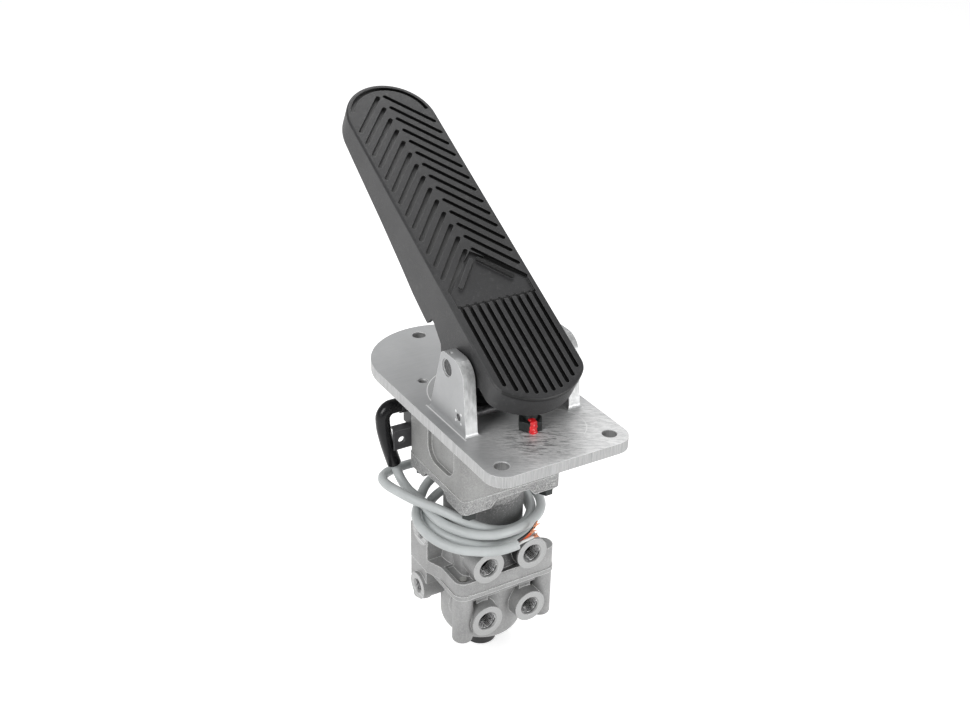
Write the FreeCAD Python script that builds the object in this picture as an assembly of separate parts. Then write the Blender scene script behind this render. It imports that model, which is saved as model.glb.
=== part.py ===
import FreeCAD, Part
import math
import os

# Foot brake valve of a lorry, in millimetres. +Z is up, +Y runs from the heel of the
# pedal to its toe, and the origin is on the valve's axis at the plate's seat face.

# Clearances that the fits share
RUN_FIT = 0.05
LOOSE_FIT = 0.2
REST_GAP = 0.3

# Mounting plate with its two ears
PLATE_T = 8.6
PLATE_HALF_W = 57.2
PLATE_FRONT = -109.7
PLATE_ARC_Y = 62.0
PLATE_CORNER_R = 14.5
PAD_T = 1.0
PAD_MARGIN = 1.0
FRONT_HOLE_X = 44.0
FRONT_HOLE_Y = -95.0
REAR_HOLE_Y = 104.5
FLOOR_HOLE_R = 5.25
HOLE_CHAMFER = 0.5
EAR_INNER = 38.0
EAR_T = 9.5
EAR_FRONT_FOOT = -53.5
EAR_REAR_FOOT = -1.0
EAR_TOP = 62.2
EAR_TOP_FRONT = -47.4
EAR_TOP_REAR = -18.2
EAR_FRONT_R = 15.0
EAR_REAR_R = 6.0
EAR_FOOT_R = 3.0

# Pivot, cross pin and heel stop
PIVOT_Y = -25.8
PIVOT_Z = 51.2
PIVOT_PIN_R = 6.0
PIVOT_RECESS = 1.3
PIVOT_MOUTH_R = 6.8
LOCK_PIN_R = 1.5
LOCK_PIN_X = 44.5
LOCK_PIN_SINK = 1.0
CROSS_PIN_R = 3.0
CROSS_PIN_Y = -42.5
CROSS_PIN_Z = 20.2
CROSS_PIN_SINK = 0.6
STOP_Y = -61.0
STOP_SCREW_R = 5.0
STOP_NUT_AF = 16.0
STOP_NUT_H = 8.0
STOP_NUT_CHAMFER = 1.4
STOP_SCREW_END_Z = 0.6

# Pedal, in its own frame: x across, s along the tread from the heel, n out of the tread.
# SKIRT_LINE is the skirt's lower edge as (s, n), the heel's end first.
PEDAL_TILT = 29.2
PEDAL_ZERO_Z = 42.2
PEDAL_HALF_W = 36.2
TOE_S = 274.0
HEEL_S = 7.7
HEEL_R = 45.0
HEEL_CORNER_R = 14.0
PEDAL_WALL = 3.0
PEDAL_FACE_T = 5.5
PEDAL_EDGE_R = 1.8
RIB_T = 2.4
RIB_X = 20.0
RIB_PITCH = 34.0
RIB_SET_BACK = 5.0
HUB_R = 12.0
BUSH_R = 8.0
BUSH_LEN = 11.0
CHEEK_GAP = 21.0
CHEEK_T = 5.0
CHEEK_END_R = 8.0
STOP_PAD_N = 12.0
STOP_PAD_HALF = 9.0
ROLLER_ROOM = 12.0
CHEEK_ROOT = 24.0
SKIRT_LINE = [
    (-5, -20), (40, -20), (50, -34), (54, -40), (60, -43), (88, -43), (91.5, -37.5),
    (106.5, -32), (110.5, -32), (113, -40.6), (118, -40.6), (139, -38.8), (164.5, -34.5),
    (203.5, -28.9), (257, -22.8), (315.2, -15.5),
]
CORE_DEPTH = PEDAL_WALL - min(n for _, n in SKIRT_LINE)

# Tread pattern
GROOVE_DEPTH = 2.6
CHEVRON_COUNT = 14
CHEVRON_TOP_S = 296.7
CHEVRON_PITCH = 12.05
CHEVRON_DROP = 31.5
CHEVRON_IN_X = 3.0
CHEVRON_OUT_X = 31.0
CHEVRON_W = 3.5
RIM_GROOVE_R = 31.3
RIM_GROOVE_W = 3.3
RIM_GROOVE_FROM = 8.0
RIM_GROOVE_TO = 158.0
HEEL_GROOVE_PITCH = 6.5
HEEL_GROOVE_W = 3.3
HEEL_GROOVE_COUNT = 10
HEEL_GROOVE_TOP = 93.0
HEEL_MARGIN = 5.6
RECESS_SIDE_S = 110.0
RECESS_PEAK_S = 139.0
RECESS_DEPTH = 2.0
LAST_CHEVRON_W = 3.4
LAST_CHEVRON_X = 21.0
LAST_CHEVRON_S = 110.7

# Roller and plunger
ROLLER_R = 9.0
ROLLER_W = 20.0
ROLLER_Y = 2.0
ROLLER_Z = 41.0
ROLLER_PIN_R = 4.0
PLUNGER_R = 11.0
PLUNGER_HEAD_R = 13.5
PLUNGER_HEAD_T = 5.0
PLUNGER_FOOT_R = 19.0
PLUNGER_FOOT_T = 4.0
PLUNGER_FOOT_Z = -14.0
BUSH_OUTER_R = 17.0
GUIDE_FLANGE_R = 19.0
GUIDE_FLANGE_T = 2.0
BOOT_FOOT_R = 27.0
BOOT_FOLDS = 3
BOOT_WALL = 1.4
BOOT_TAPER = 2.6
BOOT_FOLD_DEPTH = 4.0
RUBBER_R = 17.0
RUBBER_BULGE = 1.0
RUBBER_WAIST_R = 14.0
RUBBER_HOLE_R = 5.0

# Upper housing, under the plate
HOUSING_HALF = 42.0
HOUSING_CORNER_R = 5.0
HOUSING_BOTTOM = -53.0
HOUSING_BORE_R = 24.0
POCKET_FRONT_Y = -27.0
POCKET_REAR_Y = 12.0
POCKET_BOTTOM = -43.0
POCKET_TOP = -6.0
POCKET_R = 12.0
POCKET_DEPTH = 3.5
POCKET_BOLT_ROOM = 8.0
BOLT_R = 3.0
BOLT_HEAD_AF = 10.0
BOLT_HEAD_H = 5.0
BOLT_FLANGE_R = 6.5
BOLT_X = HOUSING_HALF - BOLT_FLANGE_R - 2
BOLT_Y = HOUSING_HALF - BOLT_FLANGE_R
BOLT_FLANGE_T = 1.5
BOLT_END_Z = 5.0

# Upper valve body: top flange, neck, and the block with the two upper ports
FLANGE_HALF = HOUSING_HALF + 0.5
FLANGE_CORNER_R = 5.0
FLANGE_T = 5.5
CORNER_BOSS_T = 6.0
CORNER_BOSS_X = 19.0
CORNER_BOSS_SLOPE = 5.0
NECK_R = 31.0
SPLIT_Z = -140.5
BODY_HALF_X = HOUSING_HALF + 1.5
BODY_HALF_Y = HOUSING_HALF - 2.2
BODY_CORNER_R = 8.0
BODY_FLANGE_T = 11.5
BODY_RIM_W = 3.0
BODY_RIM_T = 2.4
CONE_TOP_Z = -106.0
CONE_FOOT_R = 36.0
PORT_X = 19.3
PORT_FACE_Y = -FLANGE_HALF
PORT_BOSS_R = 13.2
PORT_THREAD_R = 7.25
PORT_MOUTH_R = 8.2
PORT_DEPTH = 14.0
PORT_DRILL_R = 3.5
UPPER_DRILLS_Z = (-97.0, -83.0)
LOWER_DRILLS_Z = (-168.9, -155.5)
DRILL_END_R = 13.0
CORE_HALF_X = 33.0
CORE_HALF_Y = 30.0
CORE_ABOVE_PORTS = 4.0
BOSS_SETBACK = 6.0
BOSS_WEB_HALF = 9.0
UPPER_PORT_Z = -118.7
LOWER_PORT_Z = -168.9
LUG_Y = 12.0
LUG_R = 11.0
LUG_UPPER_X = -FLANGE_HALF - 7
LUG_LOWER_X = LUG_UPPER_X - 2
LUG_UPPER_Z = -108.0
LUG_LOWER_Z = -159.0
LUG_THREAD_R = 5.25
LUG_DEPTH = 12.0
LUG_DRILL_R = 2.5
LUG_ROOT = 8.0
UPPER_LUG_STEP = 0.8
LOWER_LUG_STEP = 3.0
LOWER_LUG_WEB_HALF = 9.0
LUG_WEB_REAR = 5.0
LUG_BLEND = 13.0
SPIGOT_TOP = -45.0
COLUMN_R = 8.0
COLUMN_X = BODY_HALF_X - COLUMN_R
COLUMN_Y = BODY_HALF_Y - COLUMN_R
COLUMN_TOP = -121.5
COLUMN_BOTTOM = -186.0
COLUMN_FOOT_R = 1.5
CORNER_WEB_FROM = 15.0
CORNER_WEB_HALF = 3.0
WEB_LEAN = 4.0
BODY_SCREW_R = 3.0
BODY_SCREW_HEAD_R = 5.0
BODY_SCREW_HEAD_H = 6.0
BODY_SCREW_SINK = 8.0
BODY_SCREW_SOCKET_AF = 5.0
BODY_SCREW_SOCKET_H = 3.0

# Lower valve body
SKIRT_BOTTOM = -152.0
SKIRT_BAND_H = 4.0
SKIRT_LIP = 0.7
SKIRT_INSET = 5.5
LOWER_CONE_GROW = 3.0
LOWER_CONE_ROOT_Y = -10.0
LOWER_CONE_SETBACK = 6.0
LOWER_RIB_HALF = 5.0
LOWER_RIB_SETBACK = 9.0
BOWL_R = 32.5
BOWL_BOTTOM = -204.0
BOWL_EDGE_R = 15.0
LOWER_BORE_R = 15.0
RETAINER_Z = -176.0
RETAINER_T = 8.0
CLIP_T = 1.4
CLIP_GROOVE = 1.2
CLIP_WIDTH = 2.5
CLIP_MOUTH = 3.0
EXHAUST_R = 12.5
EXHAUST_BOTTOM = -220.0
EXHAUST_WALL = 2.0
EXHAUST_SPIGOT_T = 12.0
EXHAUST_COLLAR = 1.5
EXHAUST_FLOOR = 6.0
SPOKE_W = 2.4
SPOKE_T = 2.0
SPOKE_HUB_R = 3.5
FLAP_T = 1.2
FLAP_BUTTON_R = 2.5

# Inner valve parts
PRIMARY_R = 22.0
PRIMARY_TOP = -48.3
PRIMARY_T = 10.0
PRIMARY_WEB_TOP = -72.0
RELAY_R = 20.0
RELAY_TOP = -118.0
RELAY_T = 10.0
RELAY_ROOF_Z = -116.0
RELAY_WEB_TOP = -146.0
WEB_T = 7.0
STEM_R = 8.0
STEM_BORE_R = 4.5
SEAT_OPEN_R = 9.4
SEAT_T = 3.2
UPPER_SEAT_Z = -89.2
LOWER_SEAT_Z = -161.2
SEAT_LAP = 1.2
DISC_R = 12.0
DISC_T = 3.5
SLEEVE_R = 9.0
CHAMBER_R = 14.0
GUIDE_WEB_TOP = -104.0
RING_SECTION_R = 1.4
SPRING_TURNS = 3
SPRING_STEPS = 16
SPRING_SIDES = 6
VALVE_SPRING_WIRE = 1.6
VALVE_SPRING_R = 11.0
PISTON_SPRING_WIRE = 2.6
PRIMARY_SPRING_R = 14.0
RELAY_SPRING_R = 13.0

# Sensor, its bracket and the cable
BRACKET_T = 2.5
BRACKET_LEFT = -HOUSING_HALF - 13
BRACKET_RIGHT = -12.0
BRACKET_TOP = -33.5
BRACKET_BOTTOM = -50.0
BRACKET_SHELF = 9.0
BRACKET_HOLE_R = 2.8
BRACKET_HOLE_X = BRACKET_LEFT + 6.5
BRACKET_HOLE_Z = BRACKET_TOP - 8.5
BRACKET_SCREWS_X = (-25.0, -16.0)
BRACKET_SCREW_R = 2.0
BRACKET_SCREW_LEN = 8.0
BRACKET_SCREW_HEAD_R = 3.6
BRACKET_SCREW_HEAD_H = 2.6
SENSOR_LEFT = 2 - HOUSING_HALF
SENSOR_RIGHT = -14.0
SENSOR_DEPTH = 15.0
SENSOR_TOP = -2.6
SENSOR_EDGE_R = 2.5
SOCKET_R = 6.6
SOCKET_LEN = 7.0
SOCKET_Z = -15.5
SLEEVE_ROOM = 1.0
SLEEVE_TUBE_R = 5.6
CABLE_R = 3.75
COIL_X = -9.0
COIL_Y = 0.0
COIL_Z = -84.8
COIL_TILT = 11.4
COIL_HALF_X = 57.0
COIL_HALF_Y = 51.0
COIL_W = 19.0
COIL_H = 14.0
WIRE_R = 1.0
WIRE_ROOT = (2.0, -58.6, -87.0)
WIRE_HEADING = (0.97, 0.15, 0.14)
WIRE_LIFTS = (-2.2, 0.0, 2.2)
WIRE_LENGTHS = (20.0, 23.0, 18.0)


def vec(x, y, z):
    return FreeCAD.Vector(x, y, z)


AXIS_X = vec(1, 0, 0)
AXIS_Y = vec(0, 1, 0)
AXIS_Z = vec(0, 0, 1)


def cylinder(radius, low, high, x=0.0, y=0.0):
    """Upright cylinder between two heights."""
    return Part.makeCylinder(radius, high - low, vec(x, y, low), AXIS_Z)


def ring(outer, inner, low, high):
    return cylinder(outer, low, high).cut(cylinder(inner, low, high))


def rod_x(radius, left, right, y, z):
    return Part.makeCylinder(radius, right - left, vec(left, y, z), AXIS_X)


def rod_y(radius, front, rear, x, z):
    return Part.makeCylinder(radius, rear - front, vec(x, front, z), AXIS_Y)


def block(x0, x1, y0, y1, z0, z1):
    return Part.makeBox(x1 - x0, y1 - y0, z1 - z0, vec(x0, y0, z0))


def fuse_all(shapes):
    return shapes[0].multiFuse(shapes[1:]).removeSplitter()


def cut_all(shape, tools):
    return shape.cut(Part.makeCompound(tools)) if tools else shape


def rounded_block(half_x, half_y, radius, low, high):
    """Upright block with its four standing edges rounded."""
    body = block(-half_x, half_x, -half_y, half_y, low, high)
    upright = [e for e in body.Edges if abs(e.tangentAt(e.FirstParameter).z) > 0.9]
    return body.makeFillet(radius, upright)


def prism(points, direction):
    """Straight extrusion of a closed polygon."""
    wire = Part.makePolygon(points + [points[0]])
    return Part.Face(wire).extrude(direction)


def revolved(profile):
    """Solid of revolution about Z from (radius, height) points."""
    points = [vec(r, 0, z) for r, z in profile]
    face = Part.Face(Part.makePolygon(points + [points[0]]))
    return face.revolve(vec(0, 0, 0), AXIS_Z, 360)


def hexagon(across_flats, low, high, x, y):
    corner = across_flats / 2 / math.cos(math.pi / 6)
    points = [
        vec(x + corner * math.cos(k * math.pi / 3), y + corner * math.sin(k * math.pi / 3), low)
        for k in range(6)
    ]
    return prism(points, vec(0, 0, high - low))


def coil_spring(mean_r, wire, low, high):
    """Helical spring of short straight facets, whose outer faces stay between two heights."""
    steps = SPRING_TURNS * SPRING_STEPS
    rise = (high - low - wire) / steps
    sections = []
    for k in range(steps + 1):
        turn = k * 2 * math.pi / SPRING_STEPS
        level = low + wire / 2 + k * rise
        section = []
        for m in range(SPRING_SIDES):
            around = (m + 0.5) * 2 * math.pi / SPRING_SIDES
            reach = mean_r + wire / 2 * math.cos(around)
            height = level + wire / 2 * math.sin(around)
            section.append(vec(reach * math.cos(turn), reach * math.sin(turn), height))
        sections.append(section)
    faces = [Part.Face(Part.makePolygon(end + [end[0]])) for end in (sections[0], sections[-1])]
    for here, there in zip(sections, sections[1:]):
        for m in range(SPRING_SIDES):
            a, b = here[m - 1], here[m]
            c, d = there[m], there[m - 1]
            faces.append(Part.Face(Part.makePolygon([a, b, c, a])))
            faces.append(Part.Face(Part.makePolygon([a, c, d, a])))
    spring = Part.Solid(Part.makeShell(faces))
    return spring if spring.Volume > 0 else spring.reversed()


def bent_path(points):
    """Straight runs joined by tangent arcs, each as large as its two runs allow."""
    edges = []
    start = points[0]
    for before, corner, after in zip(points, points[1:], points[2:]):
        into = corner - before
        out = after - corner
        turn = into.getAngle(out)
        reach = 0.45 * min(into.Length, out.Length)
        radius = reach / math.tan(turn / 2)
        into.normalize()
        out.normalize()
        first = corner - into * reach
        last = corner + out * reach
        inward = out - into
        inward.normalize()
        middle = corner + inward * (radius / math.cos(turn / 2) - radius)
        edges.append(Part.LineSegment(start, first).toShape())
        edges.append(Part.Arc(first, middle, last).toShape())
        start = last
    edges.append(Part.LineSegment(start, points[-1]).toShape())
    return Part.Wire(edges)


def tube(points, radius):
    path = bent_path(points)
    heading = points[1] - points[0]
    section = Part.Wire(Part.makeCircle(radius, points[0], heading))
    return path.makePipeShell([section], True, True)


def pedal_point(x, s, n):
    """A point of the pedal's own frame, in the part's frame."""
    tilt = math.radians(PEDAL_TILT)
    y = FRONT_HOLE_Y + s * math.cos(tilt) - n * math.sin(tilt)
    z = PEDAL_ZERO_Z + s * math.sin(tilt) + n * math.cos(tilt)
    return vec(x, y, z)


def pedal_coords(y, z):
    """The pedal's own s and n of a place in the side view."""
    tilt = math.radians(PEDAL_TILT)
    dy = y - FRONT_HOLE_Y
    dz = z - PEDAL_ZERO_Z
    s = dy * math.cos(tilt) + dz * math.sin(tilt)
    n = dz * math.cos(tilt) - dy * math.sin(tilt)
    return s, n


def in_pedal_frame(shape):
    placed = shape.copy()
    placed.rotate(vec(0, 0, 0), AXIS_X, PEDAL_TILT)
    placed.translate(vec(0, FRONT_HOLE_Y, PEDAL_ZERO_Z))
    return placed


PLATE_BOLTS = [(sx * BOLT_X, sy * BOLT_Y) for sx in (-1, 1) for sy in (-1, 1)]
BODY_SCREWS = [(sx * COLUMN_X, sy * COLUMN_Y) for sx in (-1, 1) for sy in (-1, 1)]
FLANGE_BOTTOM = HOUSING_BOTTOM - FLANGE_T
BOSS_BOTTOM = FLANGE_BOTTOM - CORNER_BOSS_T
BODY_FLANGE_TOP = SPLIT_Z + BODY_FLANGE_T
PLUNGER_TOP = ROLLER_Z - ROLLER_R - REST_GAP
PIVOT_S, PIVOT_N = pedal_coords(PIVOT_Y, PIVOT_Z)
ROLLER_S, ROLLER_N = pedal_coords(ROLLER_Y, ROLLER_Z)
EAR_OUTER = EAR_INNER + EAR_T


# Mounting plate

def plate_outline():
    """Closed outline of the plate: square front corners rounded, rear a half circle."""
    w = PLATE_HALF_W
    r = PLATE_CORNER_R
    front = PLATE_FRONT
    k = r * (1 - math.sqrt(0.5))
    edges = [
        Part.LineSegment(vec(-w + r, front, 0), vec(w - r, front, 0)).toShape(),
        Part.Arc(vec(w - r, front, 0), vec(w - k, front + k, 0), vec(w, front + r, 0)).toShape(),
        Part.LineSegment(vec(w, front + r, 0), vec(w, PLATE_ARC_Y, 0)).toShape(),
        Part.Arc(vec(w, PLATE_ARC_Y, 0), vec(0, PLATE_ARC_Y + w, 0), vec(-w, PLATE_ARC_Y, 0)).toShape(),
        Part.LineSegment(vec(-w, PLATE_ARC_Y, 0), vec(-w, front + r, 0)).toShape(),
        Part.Arc(vec(-w, front + r, 0), vec(-w + k, front + k, 0), vec(-w + r, front, 0)).toShape(),
    ]
    return Part.Wire(edges)


def ear(side):
    """One upright ear, wider at its foot, with a rounded top."""
    inner = side * EAR_INNER
    profile = [
        vec(inner, EAR_FRONT_FOOT, PLATE_T - PAD_T),
        vec(inner, EAR_REAR_FOOT, PLATE_T - PAD_T),
        vec(inner, EAR_TOP_REAR, EAR_TOP),
        vec(inner, EAR_TOP_FRONT, EAR_TOP),
    ]
    body = prism(profile, vec(side * EAR_T, 0, 0))
    for y, radius in ((EAR_TOP_REAR, EAR_REAR_R), (EAR_TOP_FRONT, EAR_FRONT_R)):
        corner = [
            e for e in body.Edges
            if e.BoundBox.ZMin > EAR_TOP - 0.01 and abs(e.BoundBox.YMin - y) < 0.01 and e.BoundBox.YLength < 0.01
        ]
        body = body.makeFillet(radius, corner)
    return body


def plate_hole(x, y, radius, chamfer):
    mouth = Part.makeCone(radius, radius + chamfer, chamfer, vec(x, y, PLATE_T - chamfer), AXIS_Z)
    return cylinder(radius, -PAD_T, PLATE_T, x, y).fuse(mouth)


def mounting_plate():
    plate = Part.Face(plate_outline()).extrude(vec(0, 0, PLATE_T))
    with_ears = fuse_all([plate, ear(-1), ear(1)])
    feet = []
    for edge in with_ears.Edges:
        box = edge.BoundBox
        level = box.ZLength < 0.01 and abs(box.ZMin - PLATE_T) < 0.01
        at_ear = abs(box.XMin) <= EAR_OUTER + 0.01 and box.YMin > EAR_FRONT_FOOT - 3
        if level and at_ear and box.YMax < EAR_REAR_FOOT + 3 and min(abs(box.XMin), abs(box.XMax)) > EAR_INNER - 1:
            feet.append(edge)
    plate = with_ears.makeFillet(EAR_FOOT_R, feet)
    pad_half = HOUSING_HALF + PAD_MARGIN
    plate = plate.fuse(rounded_block(pad_half, pad_half, HOUSING_CORNER_R, -PAD_T, 0))
    holes = [
        plate_hole(-FRONT_HOLE_X, FRONT_HOLE_Y, FLOOR_HOLE_R, HOLE_CHAMFER),
        plate_hole(FRONT_HOLE_X, FRONT_HOLE_Y, FLOOR_HOLE_R, HOLE_CHAMFER),
        plate_hole(0, REAR_HOLE_Y, FLOOR_HOLE_R, HOLE_CHAMFER),
        cylinder(BUSH_OUTER_R, -PAD_T, PLATE_T),
        rod_x(PIVOT_PIN_R, -EAR_OUTER, EAR_OUTER, PIVOT_Y, PIVOT_Z),
        rod_x(CROSS_PIN_R, -EAR_OUTER, EAR_OUTER, CROSS_PIN_Y, CROSS_PIN_Z),
        cylinder(STOP_SCREW_R, 0, PLATE_T, 0, STOP_Y),
    ]
    for x, y in PLATE_BOLTS:
        holes.append(plate_hole(x, y, BOLT_R, 1.0))
    for side in (-1, 1):
        outer = side * EAR_OUTER
        mouth = Part.makeCylinder(PIVOT_MOUTH_R, PIVOT_RECESS, vec(outer, PIVOT_Y, PIVOT_Z), AXIS_X * -side)
        holes.append(mouth)
        holes.append(cylinder(LOCK_PIN_R, PIVOT_Z, EAR_TOP + 1, side * LOCK_PIN_X, PIVOT_Y))
    return cut_all(plate, holes).removeSplitter()


# Pins and the heel stop


def pivot_pin():
    reach = EAR_OUTER - PIVOT_RECESS
    pin = rod_x(PIVOT_PIN_R, -reach, reach, PIVOT_Y, PIVOT_Z)
    return cut_all(pin, [cylinder(LOCK_PIN_R, PIVOT_Z, PIVOT_Z + 10, side * LOCK_PIN_X, PIVOT_Y) for side in (-1, 1)])


def lock_pins():
    top = EAR_TOP - LOCK_PIN_SINK
    return Part.makeCompound([cylinder(LOCK_PIN_R, PIVOT_Z, top, side * LOCK_PIN_X, PIVOT_Y) for side in (-1, 1)])


def cross_pin():
    reach = EAR_OUTER - CROSS_PIN_SINK
    return rod_x(CROSS_PIN_R, -reach, reach, CROSS_PIN_Y, CROSS_PIN_Z)


def stop_screw():
    """Set screw whose round end stops the heel of the pedal."""
    tilt = math.radians(PEDAL_TILT)
    n = -STOP_PAD_N - STOP_SCREW_R - REST_GAP
    s = (STOP_Y - FRONT_HOLE_Y + n * math.sin(tilt)) / math.cos(tilt)
    centre = pedal_point(0, s, n)
    shank = cylinder(STOP_SCREW_R, STOP_SCREW_END_Z, centre.z, 0, STOP_Y)
    dome = Part.makeSphere(STOP_SCREW_R, vec(0, STOP_Y, centre.z))
    return fuse_all([shank, dome])


def stop_nut():
    top = PLATE_T + STOP_NUT_H
    shoulder = top - STOP_NUT_CHAMFER
    corner = STOP_NUT_AF / math.sqrt(3)
    full = cylinder(corner, PLATE_T, shoulder, 0, STOP_Y)
    crown = Part.makeCone(corner, STOP_NUT_AF / 2 - 1, STOP_NUT_CHAMFER, vec(0, STOP_Y, shoulder), AXIS_Z)
    nut = hexagon(STOP_NUT_AF, PLATE_T, top, 0, STOP_Y).common(full.fuse(crown))
    return nut.cut(cylinder(STOP_SCREW_R, PLATE_T, top, 0, STOP_Y))


# Pedal


def pedal_outline(inset=0.0):
    """Tread outline: half circle at the toe, flat arc with round corners at the heel."""
    w = PEDAL_HALF_W - inset
    heel_r = HEEL_R - inset
    corner = HEEL_CORNER_R - inset
    heel_centre = HEEL_S + HEEL_R
    cx = PEDAL_HALF_W - HEEL_CORNER_R
    cs = heel_centre - math.sqrt((HEEL_R - HEEL_CORNER_R) ** 2 - cx**2)
    away = math.atan2(heel_centre - cs, cx)
    mid = away / 2

    def on_corner(side, angle):
        return vec(side * (cx + corner * math.cos(angle)), cs - corner * math.sin(angle), 0)

    heel_mid = vec(0, heel_centre - heel_r, 0)
    edges = [
        Part.Arc(on_corner(-1, away), heel_mid, on_corner(1, away)).toShape(),
        Part.Arc(on_corner(1, away), on_corner(1, mid), on_corner(1, 0)).toShape(),
        Part.LineSegment(on_corner(1, 0), vec(w, TOE_S, 0)).toShape(),
        Part.Arc(vec(w, TOE_S, 0), vec(0, TOE_S + w, 0), vec(-w, TOE_S, 0)).toShape(),
        Part.LineSegment(vec(-w, TOE_S, 0), on_corner(-1, 0)).toShape(),
        Part.Arc(on_corner(-1, 0), on_corner(-1, mid), on_corner(-1, away)).toShape(),
    ]
    return Part.Wire(edges)


def side_profile(raise_by=0.0):
    """Side view of the moulding between the tread and the skirt's lower edge."""
    points = [vec(-CORE_DEPTH, s, n + raise_by) for s, n in SKIRT_LINE]
    points.append(vec(-CORE_DEPTH, SKIRT_LINE[-1][0], 0))
    points.append(vec(-CORE_DEPTH, SKIRT_LINE[0][0], 0))
    return prism(points, vec(2 * CORE_DEPTH, 0, 0))


def slot_prism(start, end, width, depth):
    """Groove cutter with round ends, sunk from the tread face."""
    run = end - start
    run.normalize()
    across = vec(-run.y, run.x, 0) * (width / 2)
    tip = run * (width / 2)
    edges = [
        Part.LineSegment(start + across, end + across).toShape(),
        Part.Arc(end + across, end + tip, end - across).toShape(),
        Part.LineSegment(end - across, start - across).toShape(),
        Part.Arc(start - across, start - tip, start + across).toShape(),
    ]
    return Part.Face(Part.Wire(edges)).extrude(vec(0, 0, -depth))


def chevron_grooves():
    """Slanted grooves left and right of the tread's middle, pointing to the toe."""
    grooves = []
    for row in range(CHEVRON_COUNT):
        top = CHEVRON_TOP_S - row * CHEVRON_PITCH
        foot = top - CHEVRON_DROP
        for side in (-1, 1):
            start = vec(side * CHEVRON_IN_X, top, 0)
            end = vec(side * CHEVRON_OUT_X, foot, 0)
            grooves.append(slot_prism(start, end, CHEVRON_W, GROOVE_DEPTH))
    return grooves


def rim_groove():
    """Curved groove that follows the toe's edge."""
    a0, a1 = math.radians(RIM_GROOVE_FROM), math.radians(RIM_GROOVE_TO)
    am = (a0 + a1) / 2

    def at(radius, angle):
        return vec(radius * math.cos(angle), TOE_S + radius * math.sin(angle), 0)

    outer = RIM_GROOVE_R + RIM_GROOVE_W / 2
    inner = RIM_GROOVE_R - RIM_GROOVE_W / 2
    edges = [
        Part.Arc(at(outer, a0), at(outer, am), at(outer, a1)).toShape(),
        Part.LineSegment(at(outer, a1), at(inner, a1)).toShape(),
        Part.Arc(at(inner, a1), at(inner, am), at(inner, a0)).toShape(),
        Part.LineSegment(at(inner, a0), at(outer, a0)).toShape(),
    ]
    return Part.Face(Part.Wire(edges)).extrude(vec(0, 0, -GROOVE_DEPTH))


def heel_grooves():
    """Straight grooves side by side over the heel."""
    grooves = []
    heel_centre = HEEL_S + HEEL_R
    for k in range(HEEL_GROOVE_COUNT):
        x = (k - (HEEL_GROOVE_COUNT - 1) / 2) * HEEL_GROOVE_PITCH
        foot = heel_centre - math.sqrt((HEEL_R - HEEL_MARGIN) ** 2 - x**2)
        top = HEEL_GROOVE_TOP + 2
        grooves.append(slot_prism(vec(x, foot + 0.5, 0), vec(x, top, 0), HEEL_GROOVE_W, GROOVE_DEPTH))
    return grooves


def tread_recess():
    """Sunk field between the chevrons and the heel, with a last raised chevron in it."""
    w = CHEVRON_OUT_X + 1
    field = prism(
        [vec(-w, HEEL_GROOVE_TOP, 0), vec(w, HEEL_GROOVE_TOP, 0), vec(w, RECESS_SIDE_S, 0),
         vec(0, RECESS_PEAK_S, 0), vec(-w, RECESS_SIDE_S, 0)],
        vec(0, 0, -RECESS_DEPTH),
    )
    start_s = LAST_CHEVRON_S + (LAST_CHEVRON_X - CHEVRON_IN_X) * CHEVRON_DROP / (CHEVRON_OUT_X - CHEVRON_IN_X)
    ribs = [
        slot_prism(
            vec(side * CHEVRON_IN_X, start_s, 0), vec(side * LAST_CHEVRON_X, LAST_CHEVRON_S, 0),
            LAST_CHEVRON_W, RECESS_DEPTH,
        )
        for side in (-1, 1)
    ]
    return cut_all(field, ribs)


def pedal_ribs(inside):
    """Grid of thin ribs inside the shell, with room left for the roller."""
    half = RIB_T / 2
    end = TOE_S + PEDAL_HALF_W
    grid = [block(side * RIB_X - half, side * RIB_X + half, 0, end, -CORE_DEPTH, 0) for side in (-1, 1)]
    row = HEEL_S + RIB_PITCH
    while row < end - RIB_PITCH / 2:
        grid.append(block(-PEDAL_HALF_W, PEDAL_HALF_W, row - half, row + half, -CORE_DEPTH, 0))
        row += RIB_PITCH
    room_end = ROLLER_S + ROLLER_R + ROLLER_ROOM
    room = block(-CHEEK_GAP / 2, CHEEK_GAP / 2, PIVOT_S + HUB_R, room_end, -CORE_DEPTH, -PEDAL_FACE_T)
    return fuse_all(grid).common(inside).cut(room)


def roller_cheeks():
    """Two cheeks under the tread that carry the roller's pin."""
    root = -PEDAL_FACE_T + 1
    cheeks = []
    for left in (-CHEEK_GAP / 2 - CHEEK_T, CHEEK_GAP / 2):
        outline = [
            vec(left, PIVOT_S - HUB_R, root), vec(left, ROLLER_S + CHEEK_ROOT, root),
            vec(left, ROLLER_S + CHEEK_END_R, ROLLER_N), vec(left, ROLLER_S, ROLLER_N - CHEEK_END_R),
            vec(left, PIVOT_S, PIVOT_N - HUB_R),
        ]
        cheeks.append(prism(outline, vec(CHEEK_T, 0, 0)))
        cheeks.append(rod_x(CHEEK_END_R, left, left + CHEEK_T, ROLLER_S, ROLLER_N))
    return cheeks


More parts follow.
